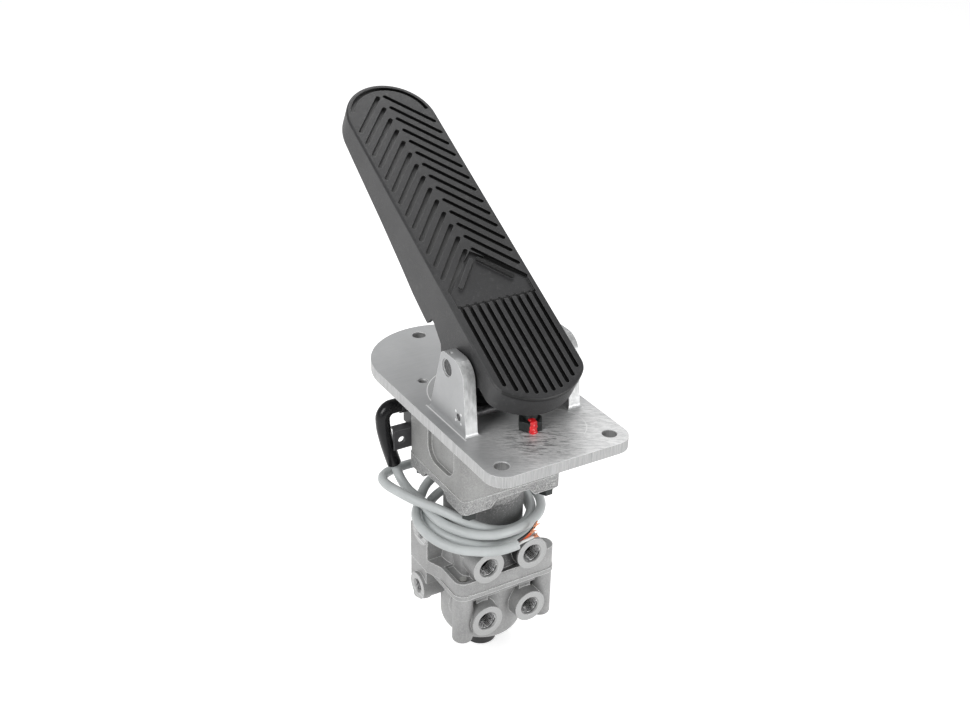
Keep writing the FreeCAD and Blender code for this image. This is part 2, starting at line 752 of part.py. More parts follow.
def pedal():
    """Moulded pedal: a thin shell, open below, with ribs, hub bosses and roller cheeks."""
    deep = vec(0, 0, -CORE_DEPTH)
    shell = Part.Face(pedal_outline()).extrude(deep).common(side_profile())
    rim = [e for e in shell.Edges if e.BoundBox.ZMin > -0.01]
    shell = shell.makeFillet(PEDAL_EDGE_R, rim)
    cavity = Part.Face(pedal_outline(PEDAL_WALL)).extrude(deep)
    cavity.translate(vec(0, 0, -PEDAL_FACE_T))
    ribs = pedal_ribs(cavity.common(side_profile(RIB_SET_BACK)))
    hub = rod_x(HUB_R, -PEDAL_HALF_W, PEDAL_HALF_W, PIVOT_S, PIVOT_N)
    pad = block(
        -STOP_PAD_HALF, STOP_PAD_HALF, HEEL_S + 2 * PEDAL_WALL, HEEL_S + RIB_PITCH,
        -STOP_PAD_N, -PEDAL_FACE_T + 1,
    )
    body = fuse_all([shell.cut(cavity), ribs, hub, pad] + roller_cheeks())
    reach = CHEEK_GAP / 2 + CHEEK_T
    bores = [
        rod_x(BUSH_R, -PEDAL_HALF_W, PEDAL_HALF_W, PIVOT_S, PIVOT_N),
        rod_x(ROLLER_PIN_R, -reach, reach, ROLLER_S, ROLLER_N),
    ]
    tread = chevron_grooves() + heel_grooves() + [rim_groove(), tread_recess()]
    return in_pedal_frame(cut_all(body, bores + tread))


def pivot_bushes():
    """Two plain bushes pressed into the pedal's hub, one at each end."""
    bushes = []
    for side in (-1, 1):
        left = min(side * PEDAL_HALF_W, side * (PEDAL_HALF_W - BUSH_LEN))
        sleeve = rod_x(BUSH_R, left, left + BUSH_LEN, PIVOT_Y, PIVOT_Z)
        bushes.append(sleeve.cut(rod_x(PIVOT_PIN_R + RUN_FIT, left, left + BUSH_LEN, PIVOT_Y, PIVOT_Z)))
    return Part.makeCompound(bushes)


def roller_pin():
    reach = CHEEK_GAP / 2 + CHEEK_T
    return rod_x(ROLLER_PIN_R, -reach, reach, ROLLER_Y, ROLLER_Z)


def roller():
    half = ROLLER_W / 2
    body = rod_x(ROLLER_R, -half, half, ROLLER_Y, ROLLER_Z)
    body = body.makeChamfer(0.8, [e for e in body.Edges if e.BoundBox.XLength < 0.01])
    return body.cut(rod_x(ROLLER_PIN_R + RUN_FIT, -half, half, ROLLER_Y, ROLLER_Z))


# Plunger group


def plunger():
    """Hardened plunger with a head for the roller and a foot on the rubber spring."""
    head_low = PLUNGER_TOP - PLUNGER_HEAD_T
    return revolved([
        (0, PLUNGER_FOOT_Z - PLUNGER_FOOT_T), (PLUNGER_FOOT_R, PLUNGER_FOOT_Z - PLUNGER_FOOT_T),
        (PLUNGER_FOOT_R, PLUNGER_FOOT_Z), (PLUNGER_R, PLUNGER_FOOT_Z), (PLUNGER_R, head_low),
        (PLUNGER_HEAD_R, head_low), (PLUNGER_HEAD_R, PLUNGER_TOP - 1), (PLUNGER_HEAD_R - 1, PLUNGER_TOP),
        (0, PLUNGER_TOP),
    ])


def guide_bush():
    low = -PAD_T
    inner = PLUNGER_R + RUN_FIT
    top = PLATE_T + GUIDE_FLANGE_T
    return revolved([
        (inner, low), (BUSH_OUTER_R, low), (BUSH_OUTER_R, PLATE_T), (GUIDE_FLANGE_R, PLATE_T),
        (GUIDE_FLANGE_R, top), (inner, top),
    ])


def plunger_boot():
    """Folded rubber boot from the plunger's head down to the plate."""
    low = PLATE_T
    high = PLUNGER_TOP - PLUNGER_HEAD_T
    fold = (high - low - 2 * BOOT_WALL) / BOOT_FOLDS
    neck = PLUNGER_R + REST_GAP
    outer = [(BOOT_FOOT_R, low), (BOOT_FOOT_R, low + BOOT_WALL)]
    inner = [(GUIDE_FLANGE_R + REST_GAP, low), (GUIDE_FLANGE_R + REST_GAP, low + 2 * BOOT_WALL)]
    for k in range(BOOT_FOLDS):
        crest = BOOT_FOOT_R - 1.0 - k * BOOT_TAPER
        valley = crest - BOOT_FOLD_DEPTH
        z = low + BOOT_WALL + k * fold
        outer += [(valley, z + 0.3), (crest, z + fold / 2), (valley - 1.0, z + fold)]
        if k > 0:
            inner += [(crest - BOOT_WALL - 0.6, z + fold / 2), (valley - 1.0 - BOOT_WALL, z + fold)]
    outer += [(PLUNGER_HEAD_R, high - BOOT_WALL), (PLUNGER_HEAD_R, high)]
    inner += [(neck, high - BOOT_WALL), (neck, high)]
    return revolved(outer + inner[::-1])


def rubber_spring():
    """Rubber spring between the plunger's foot and the upper piston."""
    top = PLUNGER_FOOT_Z - PLUNGER_FOOT_T
    low = PRIMARY_TOP
    mid = (top + low) / 2
    bulge = RUBBER_R + RUBBER_BULGE
    return revolved([
        (RUBBER_HOLE_R, low), (RUBBER_R, low), (bulge, low + 4), (RUBBER_WAIST_R, mid),
        (bulge, top - 4), (RUBBER_R, top), (RUBBER_HOLE_R, top),
    ])


# Housing and valve bodies


def side_pocket(side):
    """Shallow cast pocket in a side wall, with a round lower rear corner."""
    outer = side * HOUSING_HALF
    points = [
        vec(outer, POCKET_FRONT_Y, POCKET_BOTTOM), vec(outer, POCKET_REAR_Y, POCKET_BOTTOM),
        vec(outer, POCKET_REAR_Y, POCKET_TOP), vec(outer, POCKET_FRONT_Y, POCKET_TOP),
    ]
    pocket = prism(points, vec(-side * POCKET_DEPTH, 0, 0))
    lower = [
        e for e in pocket.Edges
        if e.BoundBox.XLength > 1 and e.BoundBox.ZMax < POCKET_BOTTOM + 0.01
    ]
    return pocket.makeFillet(POCKET_R, lower)


def end_pocket(side):
    outer = side * HOUSING_HALF
    half = BOLT_X - POCKET_BOLT_ROOM
    points = [
        vec(-half, outer, POCKET_BOTTOM), vec(half, outer, POCKET_BOTTOM),
        vec(half, outer, POCKET_TOP), vec(-half, outer, POCKET_TOP),
    ]
    pocket = prism(points, vec(0, -side * POCKET_DEPTH, 0))
    lower = [
        e for e in pocket.Edges
        if e.BoundBox.YLength > 1 and e.BoundBox.ZMax < POCKET_BOTTOM + 0.01
    ]
    return pocket.makeFillet(POCKET_R, lower)


def upper_housing():
    body = rounded_block(HOUSING_HALF, HOUSING_HALF, HOUSING_CORNER_R, HOUSING_BOTTOM, -PAD_T)
    tools = [side_pocket(-1), side_pocket(1), end_pocket(-1)]
    tools.append(cylinder(HOUSING_BORE_R, HOUSING_BOTTOM, -PAD_T))
    for x, y in PLATE_BOLTS:
        tools.append(cylinder(BOLT_R + LOOSE_FIT, HOUSING_BOTTOM, -PAD_T, x, y))
    for x in BRACKET_SCREWS_X:
        depth = HOUSING_HALF - BRACKET_SCREW_LEN
        tools.append(rod_y(BRACKET_SCREW_R, depth, HOUSING_HALF, x, BRACKET_HOLE_Z))
    return cut_all(body, tools)


def housing_bolts():
    bolts = []
    for x, y in PLATE_BOLTS:
        shank = cylinder(BOLT_R, BOSS_BOTTOM, BOLT_END_Z, x, y)
        flange = cylinder(BOLT_FLANGE_R, BOSS_BOTTOM - BOLT_FLANGE_T, BOSS_BOTTOM, x, y)
        head_low = BOSS_BOTTOM - BOLT_FLANGE_T - BOLT_HEAD_H
        head = hexagon(BOLT_HEAD_AF, head_low, BOSS_BOTTOM - BOLT_FLANGE_T, x, y)
        bolts.append(fuse_all([shank, flange, head]))
    return Part.makeCompound(bolts)


def drilling(radius, start, target_z):
    """Drilled duct from a blind hole's bottom to the wall of the valve chamber."""
    level = vec(start.x, start.y, 0)
    inward = level * (DRILL_END_R / level.Length)
    run = vec(inward.x, inward.y, target_z) - start
    return Part.makeCylinder(radius, run.Length, start, run)


def port_tools(z, targets):
    """Threaded holes of one pair of ports, with their ducts to the valve chamber."""
    tools = []
    bottom = PORT_FACE_Y + PORT_DEPTH
    mouth = PORT_MOUTH_R - PORT_THREAD_R
    for x, target_z in zip((-PORT_X, PORT_X), targets):
        tools.append(rod_y(PORT_THREAD_R, PORT_FACE_Y, bottom, x, z))
        tools.append(Part.makeCone(PORT_MOUTH_R, PORT_THREAD_R, mouth, vec(x, PORT_FACE_Y, z), AXIS_Y))
        tools.append(drilling(PORT_DRILL_R, vec(x, bottom - 1, z), target_z))
    return tools


def lug_hole(outer_x, z, target_z):
    return [
        rod_x(LUG_THREAD_R, outer_x, outer_x + LUG_DEPTH, LUG_Y, z),
        Part.makeCone(LUG_THREAD_R + 1, LUG_THREAD_R, 1, vec(outer_x, LUG_Y, z), AXIS_X),
        drilling(LUG_DRILL_R, vec(outer_x + LUG_DEPTH - 1, LUG_Y, z), target_z),
    ]


def top_flange():
    """Square flange with four deeper corner bosses on its underside."""
    flange = rounded_block(FLANGE_HALF, FLANGE_HALF, FLANGE_CORNER_R, BOSS_BOTTOM, HOUSING_BOTTOM)
    inner = CORNER_BOSS_X
    low = CORNER_BOSS_X - CORNER_BOSS_SLOPE
    cuts = []
    for turn in (0, 90):
        channel = prism(
            [vec(-inner, -FLANGE_HALF, BOSS_BOTTOM), vec(-low, -FLANGE_HALF, FLANGE_BOTTOM),
             vec(low, -FLANGE_HALF, FLANGE_BOTTOM), vec(inner, -FLANGE_HALF, BOSS_BOTTOM)],
            vec(0, 2 * FLANGE_HALF, 0),
        )
        channel.rotate(vec(0, 0, 0), AXIS_Z, turn)
        cuts.append(channel)
    return cut_all(flange, cuts)


def valve_body_upper():
    """Cast body: top flange, round neck, and the block with the upper pair of ports."""
    neck = cylinder(NECK_R, SPLIT_Z, HOUSING_BOTTOM)
    cone = Part.makeCone(CONE_FOOT_R, NECK_R, CONE_TOP_Z - BODY_FLANGE_TOP, vec(0, 0, BODY_FLANGE_TOP), AXIS_Z)
    flange = rounded_block(BODY_HALF_X, BODY_HALF_Y, BODY_CORNER_R, SPLIT_Z, BODY_FLANGE_TOP)
    well = rounded_block(
        BODY_HALF_X - BODY_RIM_W, BODY_HALF_Y - BODY_RIM_W, BODY_CORNER_R - BODY_RIM_W,
        BODY_FLANGE_TOP - BODY_RIM_T, BODY_FLANGE_TOP,
    )
    flange = flange.cut(well)
    core = rounded_block(CORE_HALF_X, CORE_HALF_Y, BODY_CORNER_R, SPLIT_Z, UPPER_PORT_Z + CORE_ABOVE_PORTS)
    bosses = [rod_y(PORT_BOSS_R, PORT_FACE_Y, 0, x, UPPER_PORT_Z) for x in (-PORT_X, PORT_X)]
    under = [
        block(
            x - BOSS_WEB_HALF, x + BOSS_WEB_HALF, PORT_FACE_Y + BOSS_SETBACK, 0,
            BODY_FLANGE_TOP - BODY_RIM_T, UPPER_PORT_Z,
        )
        for x in (-PORT_X, PORT_X)
    ]
    lug = rod_x(LUG_R, LUG_UPPER_X, -NECK_R + LUG_ROOT, LUG_Y, LUG_UPPER_Z)
    web_x = LUG_UPPER_X + UPPER_LUG_STEP
    web_front, web_rear = LUG_Y - LUG_R, LUG_Y + LUG_R + LUG_WEB_REAR
    lug_web = block(web_x, -NECK_R + LUG_ROOT, web_front, web_rear, SPLIT_Z, LUG_UPPER_Z)
    blend = prism(
        [vec(web_x, web_front, SPLIT_Z), vec(-BODY_HALF_X, web_front - LUG_BLEND, SPLIT_Z),
         vec(-CORE_HALF_X, web_front - LUG_BLEND, SPLIT_Z), vec(-CORE_HALF_X, web_front, SPLIT_Z)],
        vec(0, 0, BODY_FLANGE_T),
    )
    corner = [cylinder(COLUMN_R, SPLIT_Z, COLUMN_TOP, COLUMN_X, sy * COLUMN_Y) for sy in (-1, 1)]
    web = [
        block(
            CORNER_WEB_FROM, COLUMN_X, sy * COLUMN_Y - CORNER_WEB_HALF, sy * COLUMN_Y + CORNER_WEB_HALF,
            BODY_FLANGE_TOP - BODY_RIM_T, COLUMN_TOP,
        )
        for sy in (-1, 1)
    ]
    spigot = cylinder(HOUSING_BORE_R, HOUSING_BOTTOM, SPIGOT_TOP)
    main = [neck, cone, flange, core, top_flange(), spigot, lug, lug_web, blend]
    body = fuse_all(main + bosses + under + corner + web)
    tools = [
        cylinder(PRIMARY_R, PRIMARY_WEB_TOP, SPIGOT_TOP),
        cylinder(STEM_R + RUN_FIT, PRIMARY_WEB_TOP - WEB_T, PRIMARY_WEB_TOP),
        cylinder(CHAMBER_R, UPPER_SEAT_Z + SEAT_T, PRIMARY_WEB_TOP - WEB_T),
        cylinder(SEAT_OPEN_R, UPPER_SEAT_Z, UPPER_SEAT_Z + SEAT_T),
        cylinder(CHAMBER_R, GUIDE_WEB_TOP, UPPER_SEAT_Z),
        cylinder(SLEEVE_R + RUN_FIT, RELAY_ROOF_Z, GUIDE_WEB_TOP),
        cylinder(RELAY_R, SPLIT_Z, RELAY_ROOF_Z),
    ]
    tools += port_tools(UPPER_PORT_Z, UPPER_DRILLS_Z)
    tools += lug_hole(LUG_UPPER_X, LUG_UPPER_Z, UPPER_DRILLS_Z[1])
    for x, y in BODY_SCREWS:
        top = COLUMN_TOP if x > 0 else BODY_FLANGE_TOP
        tools.append(cylinder(BODY_SCREW_R, SPLIT_Z, top, x, y))
    for x, y in PLATE_BOLTS:
        tools.append(cylinder(BOLT_R + LOOSE_FIT, BOSS_BOTTOM, HOUSING_BOTTOM, x, y))
    return cut_all(body, tools)


def valve_body_lower():
    """Cast lower body: square skirt, four screw columns, bowl and the lower ports."""
    band_low = SPLIT_Z - SKIRT_BAND_H
    band = rounded_block(
        BODY_HALF_X + SKIRT_LIP, BODY_HALF_Y + SKIRT_LIP, BODY_CORNER_R + SKIRT_LIP, band_low, SPLIT_Z,
    )
    wall = rounded_block(
        BODY_HALF_X - SKIRT_INSET, BODY_HALF_Y - SKIRT_INSET, BODY_CORNER_R - SKIRT_INSET,
        SKIRT_BOTTOM, SPLIT_Z,
    )
    bowl = cylinder(BOWL_R, BOWL_BOTTOM, SPLIT_Z)
    bowl = bowl.makeFillet(BOWL_EDGE_R, [e for e in bowl.Edges if e.BoundBox.ZMax < BOWL_BOTTOM + 0.01])
    columns = []
    for x, y in BODY_SCREWS:
        column = cylinder(COLUMN_R, COLUMN_BOTTOM, SPLIT_Z, x, y)
        columns.append(column.makeFillet(COLUMN_FOOT_R, [e for e in column.Edges if e.BoundBox.ZMax < COLUMN_BOTTOM + 0.01]))
        columns.append(prism(
            [vec(x * 0.5, y * 0.5, SKIRT_BOTTOM), vec(x, y, SKIRT_BOTTOM),
             vec(x, y, COLUMN_BOTTOM + 4), vec(x * 0.6, y * 0.6, COLUMN_BOTTOM + 4)],
            vec(math.copysign(WEB_LEAN, -x * y), 0, 0),
        ))
    bosses = []
    for x in (-PORT_X, PORT_X):
        bosses.append(rod_y(PORT_BOSS_R, PORT_FACE_Y, 0, x, LOWER_PORT_Z))
        bosses.append(Part.makeCone(
            PORT_BOSS_R + LOWER_CONE_GROW, PORT_BOSS_R,
            LOWER_CONE_ROOT_Y - PORT_FACE_Y - LOWER_CONE_SETBACK,
            vec(x, LOWER_CONE_ROOT_Y, LOWER_PORT_Z), AXIS_Y * -1,
        ))
        bosses.append(block(
            x - LOWER_RIB_HALF, x + LOWER_RIB_HALF, PORT_FACE_Y + LOWER_RIB_SETBACK, 0,
            LOWER_PORT_Z, band_low,
        ))
    lug = rod_x(LUG_R, LUG_LOWER_X, -RELAY_R, LUG_Y, LUG_LOWER_Z)
    lug_web = block(
        LUG_LOWER_X + LOWER_LUG_STEP, -RELAY_R,
        LUG_Y - LOWER_LUG_WEB_HALF, LUG_Y + LUG_R + LUG_WEB_REAR, LUG_LOWER_Z, SPLIT_Z,
    )
    body = band.multiFuse([wall, bowl, lug, lug_web] + columns + bosses)
    seat_top = LOWER_SEAT_Z + SEAT_T
    clip_z = RETAINER_Z - RETAINER_T
    tools = [
        cylinder(RELAY_R, RELAY_WEB_TOP, SPLIT_Z),
        cylinder(STEM_R + RUN_FIT, RELAY_WEB_TOP - WEB_T, RELAY_WEB_TOP),
        cylinder(CHAMBER_R, seat_top, RELAY_WEB_TOP - WEB_T),
        cylinder(SEAT_OPEN_R, LOWER_SEAT_Z, seat_top),
        cylinder(CHAMBER_R, RETAINER_Z, LOWER_SEAT_Z),
        cylinder(LOWER_BORE_R, BOWL_BOTTOM, RETAINER_Z),
        cylinder(LOWER_BORE_R + CLIP_GROOVE, clip_z - CLIP_T, clip_z),
    ]
    tools += port_tools(LOWER_PORT_Z, LOWER_DRILLS_Z)
    tools += lug_hole(LUG_LOWER_X, LUG_LOWER_Z, LOWER_DRILLS_Z[1])
    for x, y in BODY_SCREWS:
        tools.append(cylinder(BODY_SCREW_R + LOOSE_FIT, COLUMN_BOTTOM, SPLIT_Z, x, y))
        tools.append(cylinder(BODY_SCREW_HEAD_R + LOOSE_FIT, COLUMN_BOTTOM, COLUMN_BOTTOM + BODY_SCREW_SINK, x, y))
    return cut_all(body, tools)


def body_screws():
    """Socket screws from below, whose ends show on the upper body's flange."""
    screws = []
    seat = COLUMN_BOTTOM + BODY_SCREW_SINK
    for x, y in BODY_SCREWS:
        top = COLUMN_TOP if x > 0 else BODY_FLANGE_TOP
        shank = cylinder(BODY_SCREW_R, seat, top - 0.5, x, y)
        low = seat - BODY_SCREW_HEAD_H
        head = cylinder(BODY_SCREW_HEAD_R, low, seat, x, y)
        socket = hexagon(BODY_SCREW_SOCKET_AF, low, low + BODY_SCREW_SOCKET_H, x, y)
        screws.append(fuse_all([shank, head]).cut(socket))
    return Part.makeCompound(screws)


# Pistons, double-seat valves, springs and seals


def stemmed_piston(radius, top, thickness, tip):
    """Piston with a ring groove and a hollow stem whose tip is the exhaust seat."""
    low = top - thickness
    outer = radius - RUN_FIT
    groove = outer - 2 * RING_SECTION_R
    mid = (top + low) / 2
    half = RING_SECTION_R + LOOSE_FIT
    return revolved([
        (STEM_BORE_R, tip), (STEM_R - 1, tip), (STEM_R, tip + 2), (STEM_R, low), (outer, low),
        (outer, mid - half), (groove, mid - half), (groove, mid + half), (outer, mid + half),
        (outer, top), (STEM_BORE_R, top),
    ])


def piston_ring(radius, top, thickness):
    """Square-section seal that fills its groove apart from a little side play."""
    outer = radius - RUN_FIT
    mid = top - thickness / 2
    return ring(outer, outer - 2 * RING_SECTION_R, mid - RING_SECTION_R, mid + RING_SECTION_R)


def double_seat_valve(seat_z, low):
    """Rubber-faced disc on a hollow guide sleeve."""
    top = seat_z - REST_GAP
    return revolved([
        (STEM_BORE_R - 1, low), (SLEEVE_R, low), (SLEEVE_R, top - DISC_T), (DISC_R, top - DISC_T),
        (DISC_R, top), (STEM_BORE_R - 1, top),
    ])


def primary_piston():
    tip = UPPER_SEAT_Z - REST_GAP + SEAT_LAP
    return stemmed_piston(PRIMARY_R, PRIMARY_TOP, PRIMARY_T, tip)


def relay_piston():
    tip = LOWER_SEAT_Z - REST_GAP + SEAT_LAP
    return stemmed_piston(RELAY_R, RELAY_TOP, RELAY_T, tip)


def primary_spring():
    low = PRIMARY_WEB_TOP
    high = PRIMARY_TOP - PRIMARY_T
    return coil_spring(PRIMARY_SPRING_R, PISTON_SPRING_WIRE, low, high)


def relay_spring():
    low = RELAY_WEB_TOP
    high = RELAY_TOP - RELAY_T
    return coil_spring(RELAY_SPRING_R, PISTON_SPRING_WIRE, low, high)


def upper_valve_spring():
    high = UPPER_SEAT_Z - REST_GAP - DISC_T
    return coil_spring(VALVE_SPRING_R, VALVE_SPRING_WIRE, GUIDE_WEB_TOP, high)


def lower_valve_spring():
    high = LOWER_SEAT_Z - REST_GAP - DISC_T
    return coil_spring(VALVE_SPRING_R, VALVE_SPRING_WIRE, RETAINER_Z, high)


def valve_retainer():
    return ring(LOWER_BORE_R, SLEEVE_R + RUN_FIT, RETAINER_Z - RETAINER_T, RETAINER_Z)


def retaining_clip():
    """Spring clip in the bore's groove, open on one side."""
    high = RETAINER_Z - RETAINER_T
    outer = LOWER_BORE_R + CLIP_GROOVE
    clip = ring(outer, LOWER_BORE_R - CLIP_WIDTH, high - CLIP_T, high)
    return clip.cut(block(0, outer, -CLIP_MOUTH, CLIP_MOUTH, high - CLIP_T, high))


def exhaust_cover():
    """Black exhaust nozzle with a spigot in the bowl's bore and a spoked floor."""
    inner = EXHAUST_R - EXHAUST_WALL
    collar = LOWER_BORE_R + EXHAUST_COLLAR
    top = BOWL_BOTTOM + EXHAUST_SPIGOT_T
    floor = EXHAUST_BOTTOM + EXHAUST_FLOOR
    body = revolved([
        (inner, EXHAUST_BOTTOM), (EXHAUST_R - 1, EXHAUST_BOTTOM), (EXHAUST_R, EXHAUST_BOTTOM + 1),
        (EXHAUST_R, BOWL_BOTTOM - 2), (collar, BOWL_BOTTOM - EXHAUST_COLLAR), (collar, BOWL_BOTTOM),
        (LOWER_BORE_R, BOWL_BOTTOM), (LOWER_BORE_R, top), (inner, top),
    ])
    half = SPOKE_W / 2
    spokes = [
        block(-inner, inner, -half, half, floor, floor + SPOKE_T),
        block(-half, half, -inner, inner, floor, floor + SPOKE_T),
        cylinder(SPOKE_HUB_R, floor, floor + SPOKE_T),
    ]
    return fuse_all([body] + spokes)


def exhaust_flap():
    """Rubber flap that hangs under the spoked floor by its button."""
    floor = EXHAUST_BOTTOM + EXHAUST_FLOOR
    disc = cylinder(EXHAUST_R - EXHAUST_WALL - REST_GAP, floor - FLAP_T, floor)
    return fuse_all([disc, cylinder(FLAP_BUTTON_R, floor - FLAP_BUTTON_R, floor)])


# Sensor and cable

REAR_FACE = HOUSING_HALF
SLEEVE_Y = REAR_FACE + SENSOR_DEPTH / 2

SLEEVE_POINTS = [
    vec(SENSOR_LEFT - SOCKET_LEN, SLEEVE_Y, SOCKET_Z),
    vec(-56.0, SLEEVE_Y, SOCKET_Z),
    vec(-60.8, SLEEVE_Y, -21.0),
    vec(-60.3, SLEEVE_Y, -32.0),
    vec(-57.0, SLEEVE_Y, -47.0),
    vec(-51.6, SLEEVE_Y, -65.5),
]

LEAD_POINTS = [
    vec(-51.6, SLEEVE_Y, -65.5),
    vec(-49.5, SLEEVE_Y, -72.7),
    vec(-47.6, 46.5, -79.6),
]


def sensor_bracket():
    """Folded steel bracket on the housing's rear wall, with a tab that stands out left."""
    y0 = REAR_FACE
    wall = block(BRACKET_LEFT, BRACKET_RIGHT, y0, y0 + BRACKET_T, BRACKET_BOTTOM, BRACKET_TOP)
    shelf = block(BRACKET_LEFT, BRACKET_RIGHT, y0, y0 + BRACKET_SHELF, BRACKET_TOP - BRACKET_T, BRACKET_TOP)
    body = fuse_all([wall, shelf])
    holes = [rod_y(BRACKET_HOLE_R, y0, y0 + BRACKET_T, BRACKET_HOLE_X, BRACKET_HOLE_Z)]
    for x in BRACKET_SCREWS_X:
        holes.append(rod_y(BRACKET_SCREW_R, y0, y0 + BRACKET_T, x, BRACKET_HOLE_Z))
    below, above = SLEEVE_POINTS[5], SLEEVE_POINTS[3]
    room = Part.makeCylinder(SLEEVE_TUBE_R + SLEEVE_ROOM, (above - below).Length, below, above - below)
    return cut_all(body, holes + [room])


def bracket_screws():
    screws = []
    seat = REAR_FACE + BRACKET_T
    for x in BRACKET_SCREWS_X:
        shank = rod_y(BRACKET_SCREW_R, REAR_FACE - BRACKET_SCREW_LEN, seat, x, BRACKET_HOLE_Z)
        head = rod_y(BRACKET_SCREW_HEAD_R, seat, seat + BRACKET_SCREW_HEAD_H, x, BRACKET_HOLE_Z)
        screws.append(fuse_all([shank, head]))
    return Part.makeCompound(screws)


def sensor_housing():
    body = block(SENSOR_LEFT, SENSOR_RIGHT, REAR_FACE, REAR_FACE + SENSOR_DEPTH, BRACKET_TOP, SENSOR_TOP)
    edges = [e for e in body.Edges if e.BoundBox.YMin > REAR_FACE + 1]
    return body.makeFillet(SENSOR_EDGE_R, edges)


def cable_socket():
    """Black plug body on the sensor's left side, which the sleeve pushes over."""
    return rod_x(SOCKET_R, SENSOR_LEFT - SOCKET_LEN, SENSOR_LEFT, SLEEVE_Y, SOCKET_Z)


def cable_sleeve():
    return tube(SLEEVE_POINTS, SLEEVE_TUBE_R)


def cable_lead():
    return tube(LEAD_POINTS, CABLE_R)


def cable_coil():
    """Outer shape of the loose loops of cable round the neck."""
    half = COIL_W / 2

    def oval(grow):
        edge = Part.Ellipse(vec(0, 0, -COIL_H / 2), COIL_HALF_X + grow, COIL_HALF_Y + grow).toShape()
        return Part.Face(Part.Wire(edge)).extrude(vec(0, 0, COIL_H))

    body = oval(half).cut(oval(-half))
    body.rotate(vec(0, 0, 0), AXIS_Y, COIL_TILT)
    body.translate(vec(COIL_X, COIL_Y, COIL_Z))
    return body


def wire_ends():
    """Stripped ends of the three cores."""
    wires = []
    for lift, length in zip(WIRE_LIFTS, WIRE_LENGTHS):
        start = vec(*WIRE_ROOT) + vec(0, 0, lift)
        wires.append(Part.makeCylinder(WIRE_R, length, start, vec(*WIRE_HEADING)))
    return Part.makeCompound(wires)


NODES = {
    "mounting_plate": mounting_plate,
    "pivot_pin": pivot_pin,
    "lock_pins": lock_pins,
    "cross_pin": cross_pin,
    "stop_screw": stop_screw,
    "stop_nut": stop_nut,
    "pedal": pedal,
    "pivot_bushes": pivot_bushes,
    "roller_pin": roller_pin,
    "roller": roller,
    "plunger": plunger,
    "guide_bush": guide_bush,
    "plunger_boot": plunger_boot,
    "rubber_spring": rubber_spring,
    "upper_housing": upper_housing,
    "housing_bolts": housing_bolts,
    "valve_body_upper": valve_body_upper,
    "valve_body_lower": valve_body_lower,
    "body_screws": body_screws,
    "primary_piston": primary_piston,
    "primary_ring": lambda: piston_ring(PRIMARY_R, PRIMARY_TOP, PRIMARY_T),
    "primary_spring": primary_spring,
    "upper_inlet_valve": lambda: double_seat_valve(UPPER_SEAT_Z, RELAY_ROOF_Z + 3),
    "upper_valve_spring": upper_valve_spring,
    "relay_piston": relay_piston,
    "relay_ring": lambda: piston_ring(RELAY_R, RELAY_TOP, RELAY_T),
    "relay_spring": relay_spring,
    "lower_inlet_valve": lambda: double_seat_valve(LOWER_SEAT_Z, RETAINER_Z - RETAINER_T - 3),
    "lower_valve_spring": lower_valve_spring,
    "valve_retainer": valve_retainer,
    "retaining_clip": retaining_clip,
    "exhaust_cover": exhaust_cover,
    "exhaust_flap": exhaust_flap,
    "sensor_bracket": sensor_bracket,
    "bracket_screws": bracket_screws,
    "sensor_housing": sensor_housing,
    "cable_socket": cable_socket,
    "cable_sleeve": cable_sleeve,
    "cable_lead": cable_lead,
    "cable_coil": cable_coil,
    "wire_ends": wire_ends,
}

os.makedirs("parts", exist_ok=True)
for name, make in NODES.items():
    shape = make()
    shape.exportStep("parts/%s.step" % name)
    print(name, "solids", len(shape.Solids), "volume %.1f" % shape.Volume, "valid", shape.isValid())
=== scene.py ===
import math

import bmesh
import bpy
from mathutils import Matrix, Vector, noise


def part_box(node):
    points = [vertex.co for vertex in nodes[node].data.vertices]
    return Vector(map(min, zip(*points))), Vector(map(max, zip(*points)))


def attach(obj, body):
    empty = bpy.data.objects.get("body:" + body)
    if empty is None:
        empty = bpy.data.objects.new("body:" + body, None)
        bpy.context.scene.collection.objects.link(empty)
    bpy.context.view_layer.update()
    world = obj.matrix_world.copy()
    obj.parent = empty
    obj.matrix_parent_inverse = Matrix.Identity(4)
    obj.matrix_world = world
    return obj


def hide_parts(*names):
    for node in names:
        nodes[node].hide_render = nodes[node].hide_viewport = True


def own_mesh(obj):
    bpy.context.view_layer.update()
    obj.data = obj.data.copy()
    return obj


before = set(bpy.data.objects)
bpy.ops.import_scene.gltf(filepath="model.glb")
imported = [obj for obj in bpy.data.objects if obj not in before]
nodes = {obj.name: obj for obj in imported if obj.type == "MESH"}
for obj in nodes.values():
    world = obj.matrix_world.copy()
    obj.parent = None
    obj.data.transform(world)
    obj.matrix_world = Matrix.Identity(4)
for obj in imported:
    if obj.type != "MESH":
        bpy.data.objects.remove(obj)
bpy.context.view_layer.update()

# Camera. It stands at the front left of the valve, above the plate, and
# looks down on the tread as the photograph does.

scene = bpy.context.scene
lens = bpy.data.cameras.new("photo_camera")
lens.sensor_width = 36.0
lens.lens = 47.48
camera = bpy.data.objects.new("photo_camera", lens)
scene.collection.objects.link(camera)
roll = math.radians(1.27)
sideways = Vector((0.8547, -0.5190, 0.0))
upward = Vector((0.2408, 0.3965, 0.8858))
backward = Vector((-0.4598, -0.7572, 0.4639))
rolled_side = sideways * math.cos(roll) + upward * math.sin(roll)
rolled_up = upward * math.cos(roll) - sideways * math.sin(roll)
turn = Matrix((rolled_side, rolled_up, backward)).transposed()
camera.rotation_euler = turn.to_euler()
camera.location = (-0.4302, -0.7067, 0.4637)
scene.camera = camera

# Studio. A pale card sweep under the exhaust takes the shadow, and three
# soft lamps hang round it: high left, low front right and behind.

MATH = "ShaderNodeMath"
PATHS = "ShaderNodeLightPath"


